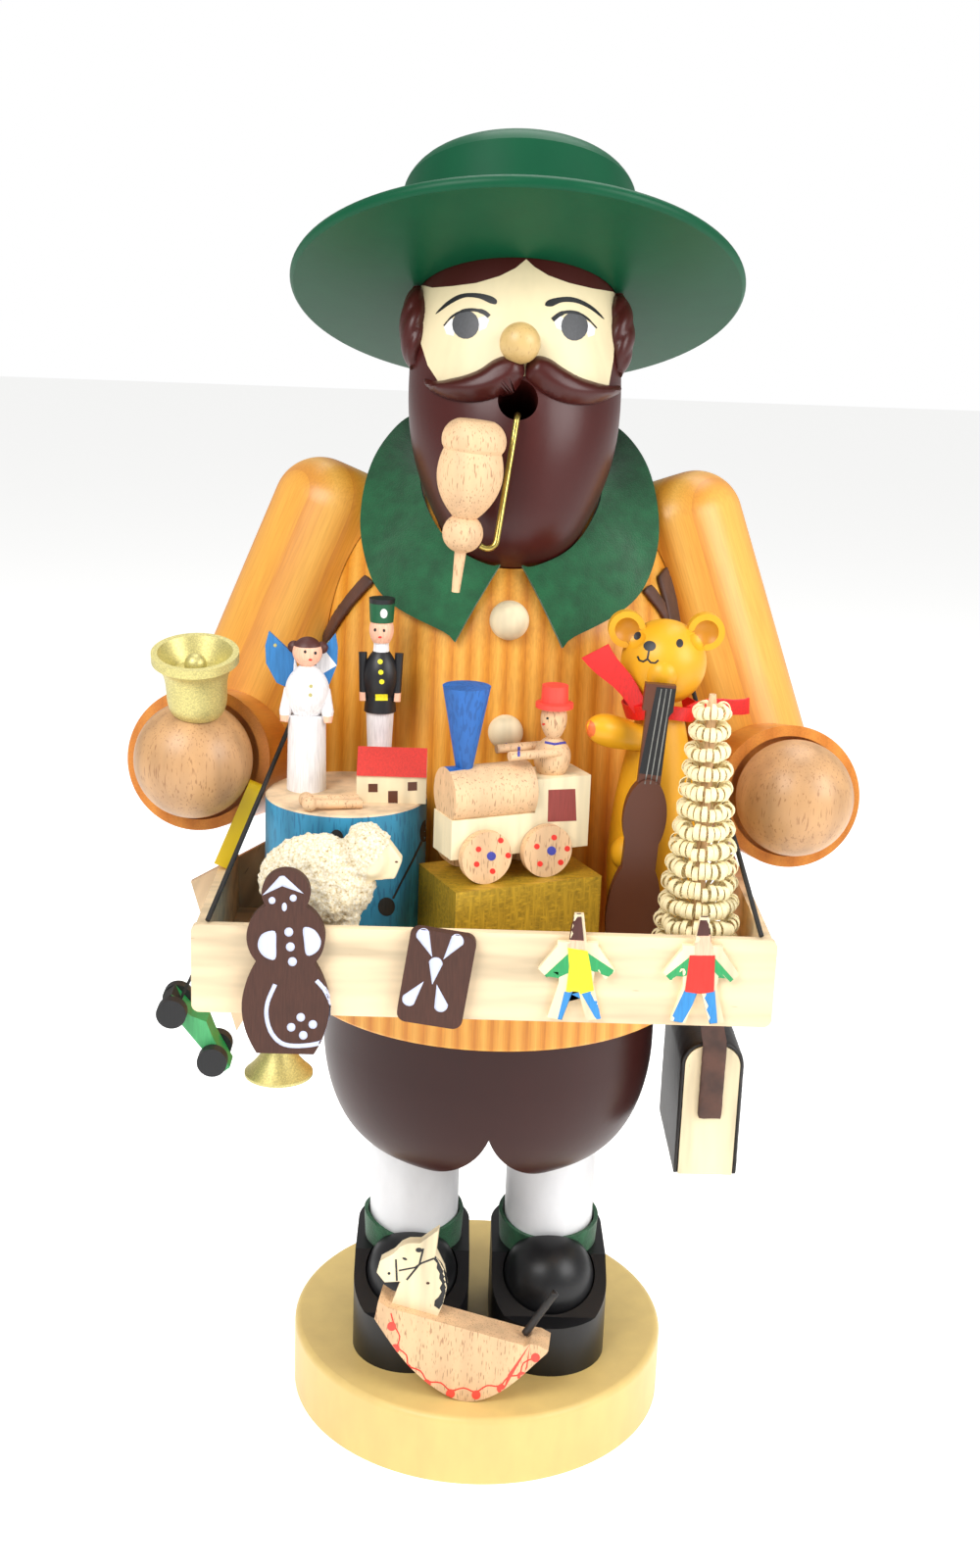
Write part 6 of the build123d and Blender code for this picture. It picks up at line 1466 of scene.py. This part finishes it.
@dataclass
class Teddy(Toy):
    """The honey-yellow bear with its painted face, paw and scarlet ribbon."""

    head: tuple[float, float, float] = (50.5, -81.0, 320.7)
    head_radius: float = 14.0
    ear_radius: float = 6.0
    ear_place: tuple[float, float, float] = (0.92, 0.12, 0.78)
    neck_radius: float = 10.5
    ribbon_slack: float = 1.4
    ribbon_half: float = 0.22
    knots: tuple[tuple[float, float, float], ...] = ((-7.4, -8.6, 1.0), (7.6, -8.6, 1.0))
    ribbon_z: float = 305.2
    ribbon_mm: float = 5.0
    end_mm: float = 10.4

    def build(self) -> None:
        """Paints the bear and ties its ribbon."""
        x0, y0, z0 = self.head

        def choose(spot: Vector, normal: Vector) -> int:
            """Painted shade in the ear hollows, or the bear's yellow."""
            for side in (-1, 1):
                out, fore, over = (self.head_radius * share for share in self.ear_place)
                # The middle of the ear hollow, round which the painted shade goes.
                ear_shade = Vector((x0 + side * out, y0 - fore - self.ear_radius * 1.1, z0 + over))
                if (spot - ear_shade).length < self.ear_radius * 1.05 and (spot
                    - Vector(self.head)).length > self.head_radius * 1.02:
                    return 1
            return 0

        painted_copy("teddy_head", (Stock.bear, Stock.ear_shade), choose)
        self.spots("teddy_head", [
            ("eyes", Stock.black_paint, [oval(650.4, 648.8, 3.4, 4.4, 30), oval(693.6, 656.4, 3.6, 4.4)]),
            ("nose", Stock.black_paint, [oval(663.0, 659.2, 6.4, 5.2),
                stroke([(662.4, 663), (660.6, 673)], 1.8),
                                         stroke([(650.6, 669.6), (652.4, 673.6), (656.4, 675.2), (660.8,
                                             672.4)], 1.9),
                                             stroke([(660.8, 672.4), (664, 676), (668.5, 676.6), (672,
                                                 673.6)], 1.9)])], 1.8)
        self.spots("teddy_body", [("paw", Stock.paw, [oval(598.4, 744.2, 9.5, 10.5)])], 2.5)
        self.ribbon()

    def ribbon(self) -> None:
        """A flat ribbon round the neck, knotted in front, with two ends that stand away."""
        x0, y0, _ = self.head
        verts: list[Vector] = []
        faces: list[Sequence[int]] = []
        loop = []
        for k in range(49):
            angle = -math.pi / 2 + math.tau * k / 48
            reach = self.neck_radius + self.ribbon_slack + 0.25 * math.sin(5 * angle)
            spot = Vector((x0 + reach * math.cos(angle), y0 + reach * math.sin(angle),
                self.ribbon_z - 1.2 * math.cos(2 * angle)))
            loop.append((spot, Vector((math.cos(angle) * 0.35, math.sin(angle) * 0.35, 1))))
        knot, other = (Vector((x0 + x, y0 + y, self.ribbon_z + z)) for x, y, z in self.knots)
        left = [(knot + Vector((-0.62 * s, -0.10 * s, 0.80 * s + 1.3 * math.sin(s / 5))),
            Vector((0.75, -0.35, 0.62))) for s in (0, 3, 7, 11, 15, 19, 23, 26)]
        right = [(other + Vector((0.98 * s, 0.14 * s, 0.14 * s + 1.1 * math.sin(s / 4))),
            Vector((-0.1, -0.5, 0.9))) for s in (0, 3, 7, 11, 15, 19, 21)]
        area = sum(self.band(verts, faces, line, end_mm) for line, end_mm in ((loop, self.ribbon_mm),
            (left, self.end_mm), (right, 7.0)))
        made = piece("teddy_ribbon", verts, faces, Stock.ribbon, "upper_half", 70.0)
        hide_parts("teddy_scarf")
        length = sum(sum((b[0] - a[0]).length for a, b in zip(line, line[1:])) for line in (loop, left,
            right))

    def band(self, verts: list[Vector], faces: list[Sequence[int]], line: Sequence[tuple[Vector, Vector]],
        end_mm: float) -> float:
        """Adds a ribbon strip along a line of (place, width direction), and returns its area, in mm."""
        start, area = len(verts), 0.0
        for i, (spot, across) in enumerate(line):
            wide = self.ribbon_mm + (end_mm - self.ribbon_mm) * i / (len(line) - 1)
            area += wide * (spot - line[i - 1][0]).length if i else 0.0
            way = (line[min(i + 1, len(line) - 1)][0] - line[max(i - 1, 0)][0]).normalized()
            across = (across - way * across.dot(way)).normalized()
            normal = across.cross(way)
            for u, v in ((-1, -1), (1, -1), (1, 1), (-1, 1)):
                verts.append((spot + across * u * wide / 2 + normal * v * self.ribbon_half) * MM)
        faces += ring_faces(start, len(line) - 1, 4, True)
        last = start + 4 * (len(line) - 1)
        faces += [(start, start + 1, start + 2, start + 3), (last + 3, last + 2, last + 1, last)]
        return area


@dataclass
class Violin(Toy):
    """The small violin's dark fingerboard and its strings."""

    def build(self) -> None:
        """Paints the fingerboard and three strings."""
        board = [(670, 701), (690, 703), (676, 792), (652, 789)]
        strings = [stroke([(675 + k * 5.0, 703), (658 + k * 5.6, 800)], 1.1) for k in range(3)]
        self.spots("violin", [("fingerboard", Stock.black_paint, [board]), ("strings", Stock.tin, strings)])


@dataclass
class Gingerbread(Toy):
    """The icing on the gingerbread woman and on the tile: lines and drops that stand up a little."""

    def build(self) -> None:
        """Pipes the icing."""
        brush = Brush(self.sight, "upper_half", ("gingerbread",), step_px=2.2, crown_mm=0.55, crown_px=4.0)
        leaves = [drop((287.5, 899), (267.8, 913.5), 5.2), drop((288.5, 899), (309.8, 911.8), 5.4)]
        dots = [oval(277.6, 918.8, 3.6), oval(299.2, 916.3, 3.6), oval(290.2, 925.4, 2.6, 4.4), oval(294.7,
            951, 4.6), oval(296.3, 966.1, 4.6), oval(298.4, 981.2, 4.6)]
        sleeves = [rounded([(280.4, 950.2), (281.8, 964.5), (280.6, 978.8), (269.5, 976), (263, 965.5), (267,
            953.5)], 4), rounded([(309.8, 946.5), (310.2, 960), (313, 974.7), (323.5, 971), (327.6, 960.4),
            (321, 949)], 4)]
        hem = stroke(rounded([(280.8, 1004.5), (273, 1022.9), (272.2, 1039.2), (278, 1055.5), (290.2, 1065.7),
            (310.6, 1066.9), (329, 1062.9), (341.2, 1051.4), (340.4, 1033), (333, 1012.7), (322.9, 1000.4)],
            4, False), 4.4)
        frock = [oval(306.9, 1038, 4.4), oval(297.1, 1048.2, 4.4), oval(319.2, 1045.3, 4.4), oval(309.4,
            1056.3, 4.4)]
        brush.paint("gingerbread_woman_icing", leaves + dots + sleeves + [hem] + frock, Stock.icing, 0.12)
        drops = [((431.9, 954.6), (441.0, 976.5)), ((466.0, 960.6), (452.3, 979.0)), ((444.5, 984),
            (441, 1004.8)), ((417.6, 1019.2), (432.4, 1001.4)), ((449.8, 1025.4), (445.6, 1004.5))]
        brush.paint("gingerbread_tile_icing", [drop(fat, tip, 7.2) for fat, tip in drops], Stock.icing, 0.12)


@dataclass
class Dolls(Toy):
    """The two sawn jumping dolls, painted flat in bright colours."""

    def build(self) -> None:
        """Paints the yellow and the red doll."""
        self.spots("flat_dolls", [
            ("legs", Stock.sky, [[(575.9, 1011.7), (590.4, 1013), (580.6, 1043.6), (568.6, 1041.5)],
                [(592.5, 1012.5), (606.5, 1009.4), (619.2, 1037), (608.9, 1041.4)],
                                 [(698.4, 1010.4), (713.7, 1013), (694.5, 1046.8), (683, 1043.5)],
                                 [(714.9, 1012.5), (729.4, 1010.4), (732.2, 1045.5), (721.6, 1046.8)]]),
            ("arms", Stock.green_paint, [[(581, 972), (554.2, 996.8), (559.6, 1002), (581, 992.2)],
                [(599, 971.8), (626.2, 990), (624.4, 998), (603, 990.2)],
                                         [(705, 975.6), (676.6, 998.2), (682, 1002), (703, 994.3)],
                                         [(727.5, 975.5), (750, 1001), (743.3, 1005.8), (727.5, 990.2)]]),
            ("faces", Stock.skin, [[(580, 958), (595.8, 958), (596.6, 969), (579.2, 968)],
                [(709.4, 953.5), (727.6, 953.5), (728, 975.4), (709.6, 975.4)]]),
            ("vests", Stock.yellow, [[(579.2, 966.9), (599.6, 970.6), (602.9, 988.2), (605.9, 1010.4), (592.2,
                1014.2), (577.6, 1011.8), (580.8, 986.1)]]),
            ("red_vest", Stock.red, [[(703.7, 974.9), (729.6, 974.9), (728.4, 1011.6), (714.7, 1014.2),
                (698.8, 1011.6)]]),
            ("hats", Stock.hair, [[(581.2, 932.6), (593, 932.6), (595.7, 959.6), (579.8, 958.6)],
                [(715.2, 935.6), (726.3, 935.6), (727.6, 954.6), (711, 954.6)]])], 4.0)


@dataclass
class RockingHorse(Toy):
    """The rocking horse's painted bridle, mane and scroll of red dots."""

    dots: tuple[Point, ...] = ((399.7, 1353.4), (403.3, 1376.1), (415, 1396), (435.2, 1412.1), (459.6, 1422),
        (485.9, 1423.3), (511.4, 1416.9), (532.3, 1404.2), (546.4, 1385.3))
    vine_px: float = 1.3
    vine_swing: float = 6.5
    dot_px: float = 4.6

    def build(self) -> None:
        """Paints the rocker and the head."""
        vine = [(398.9, 1340.0)]
        for (ax, ay), (bx, by) in zip(self.dots, self.dots[1:]):
            length = math.hypot(bx - ax, by - ay)
            nx, ny = (by - ay) / length, -(bx - ax) / length
            vine += [(ax + nx * 3, ay + ny * 3), ((ax + bx) / 2 + nx * self.vine_swing,
                (ay + by) / 2 + ny * self.vine_swing)]
        vine.append(self.dots[-1])
        self.spots("rocker", [("vine", Stock.red, [stroke(rounded(vine, 3, False), self.vine_px)]),
            ("dots", Stock.bright_red, [oval(x, y, self.dot_px) for x, y in self.dots])], 2.4, "root")
        straps = [stroke([(404, 1285), (405, 1307)], 2.0), stroke([(407, 1296.5), (425, 1293)], 1.6),
            stroke([(432, 1274), (428, 1290), (415, 1306)], 2.0),
            stroke([(443, 1284), (430, 1289), (424, 1293)], 1.8),
                  oval(427.5, 1275.5, 3.4, 2.4), oval(413, 1284.5, 2.6, 1.2, 20), oval(397, 1299.4, 1.5)]
        mane = [(444.1, 1281.2), (450.7, 1288.9), (455.3, 1299.1), (457.1, 1311.8), (456.3, 1322), (452,
            1329.7), (448.2, 1336), (443, 1332.2), (443.6, 1327.1), (447.7, 1323.3), (450.7, 1318.2), (448.7,
            1314.4),
                (451.2, 1309.3), (448.2, 1304.2), (448.7, 1299.1), (445.6, 1294), (446.1, 1288.9), (442.6,
                    1285)]
        self.spots("horse_head", [("bridle", Stock.black_paint, straps), ("mane", Stock.black_paint, [mane]),
            ("knot", Stock.cookie, [oval(436.7, 1309.3, 1.8, 1.2)])], 1.8, "root")


@dataclass
class Racer(Toy):
    """The green racing car with its black wheels and driver's hole, its one green painted lighter on the sides
    and darker on top as painted light and shade.
    """

    middle: tuple[float, float, float] = (-96.5, -118.0, 203.0)
    dive_degrees: float = 52.0
    length: float = 31.0
    width: float = 8.5
    cord_rise: float = 9.5
    cord_share: float = 0.36

    def build(self) -> None:
        """Paints the car by place in its own directions."""
        dive = math.radians(self.dive_degrees)
        along = Vector((math.cos(dive), 0, -math.sin(dive)))
        up = along.cross(Vector((0, 1, 0)))
        up *= math.copysign(1.0, up.z)

        def choose(spot: Vector, normal: Vector) -> int:
            """Wheels, cord, the top's painted shade or the sides' painted highlight."""
            local = spot - Vector(self.middle)
            u, v = local.dot(along), local.dot(up)
            if abs(local.y) > self.width / 2 + 0.1:
                return 1
            if spot.z > self.middle[2] + self.cord_rise and u < -self.length * self.cord_share:
                return 2
            # Faces turned up get the darker green as painted shade; the rest get the pale green as a painted
            # highlight.
            return 3 if normal.dot(up) > 0.5 else 0

        painted_copy("race_car", (Stock.racer_lit_side, Stock.tyre, Stock.cord, Stock.racer_shaded_top), choose)


def worn_copy(node: str, finish: Finish, size_mm: float = 1.6, wear_mm: float = 0.12,
    rounds: int = 2) -> bpy.types.Object:
    """Stands for a plain CAD strap or cover with a copy in worn leather or felt.

    Args:
        node: The CAD node.
        finish: The real finish.
        size_mm: The closeness of the new mesh.
        wear_mm: How far the surface wanders.
        rounds: How far its edges are softened.

    Returns:
        The worn copy.
    """
    source = frame["nodes"][node]
    work = bmesh.new()
    work.from_mesh(source.data)
    bmesh.ops.remove_doubles(work, verts=work.verts, dist=1e-6)
    for _ in range(6):
        long = [e for e in work.edges if e.calc_length() > size_mm * MM * 1.6]
        if not long:
            break
        bmesh.ops.subdivide_edges(work, edges=long, cuts=1)
        bmesh.ops.triangulate(work, faces=[f for f in work.faces if len(f.verts) > 4])
    for _ in range(rounds):
        bmesh.ops.smooth_vert(work, verts=work.verts, factor=0.3, use_axis_x=True, use_axis_y=True,
            use_axis_z=True)
    work.normal_update()
    for vert in work.verts:
        vert.co += vert.normal * noise.noise(vert.co / MM * 0.4) * wear_mm * MM
    mesh = bpy.data.meshes.new(f"{node}_leather")
    work.to_mesh(mesh)
    work.free()
    mesh.materials.append(finish.material())
    tidy_mesh(mesh, 50.0)
    return add_object(f"{node}_leather", mesh, source["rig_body"], finish, node)


LEATHER: dict[str, Finish] = {
    "braces": Stock.brown_strap, "satchel_strap": Stock.brown_strap, "satchel_hanger": Stock.brown_strap,
    "satchel_wrap": Stock.black_strap, "horse_tail": Stock.black_strap,
}


def dress_plain_nodes() -> None:
    """Gives every CAD node its real finish."""
    for name, finish in PLAIN.items():
        mesh = frame["nodes"][name].data
        mesh.materials.clear()
        mesh.materials.append(finish.material())
        log.info("dressed %s in %s", name, finish.name)


def main() -> None:
    """Builds the scene in order."""
    logging.basicConfig(level=logging.INFO, format="%(name)s: %(message)s")
    sight = Sight()
    sight.build()
    for cord in TRAY_CORDS:
        cord.build()
    Studio().build()
    dress_plain_nodes()
    Face(sight).build()
    Collar().build()
    AnkleFelt("left_ankle_felt", 0.6).build()
    AnkleFelt("right_ankle_felt", 2.4).build()
    CurlTree().build()
    for toy in (Angel, Miner, House, Drum, Sheep, Engine, Teddy, Violin, Gingerbread, Dolls, RockingHorse,
        Racer):
        toy(sight).build()
    for node, finish in LEATHER.items():
        worn_copy(node, finish)


if __name__ == "__main__":
    main()
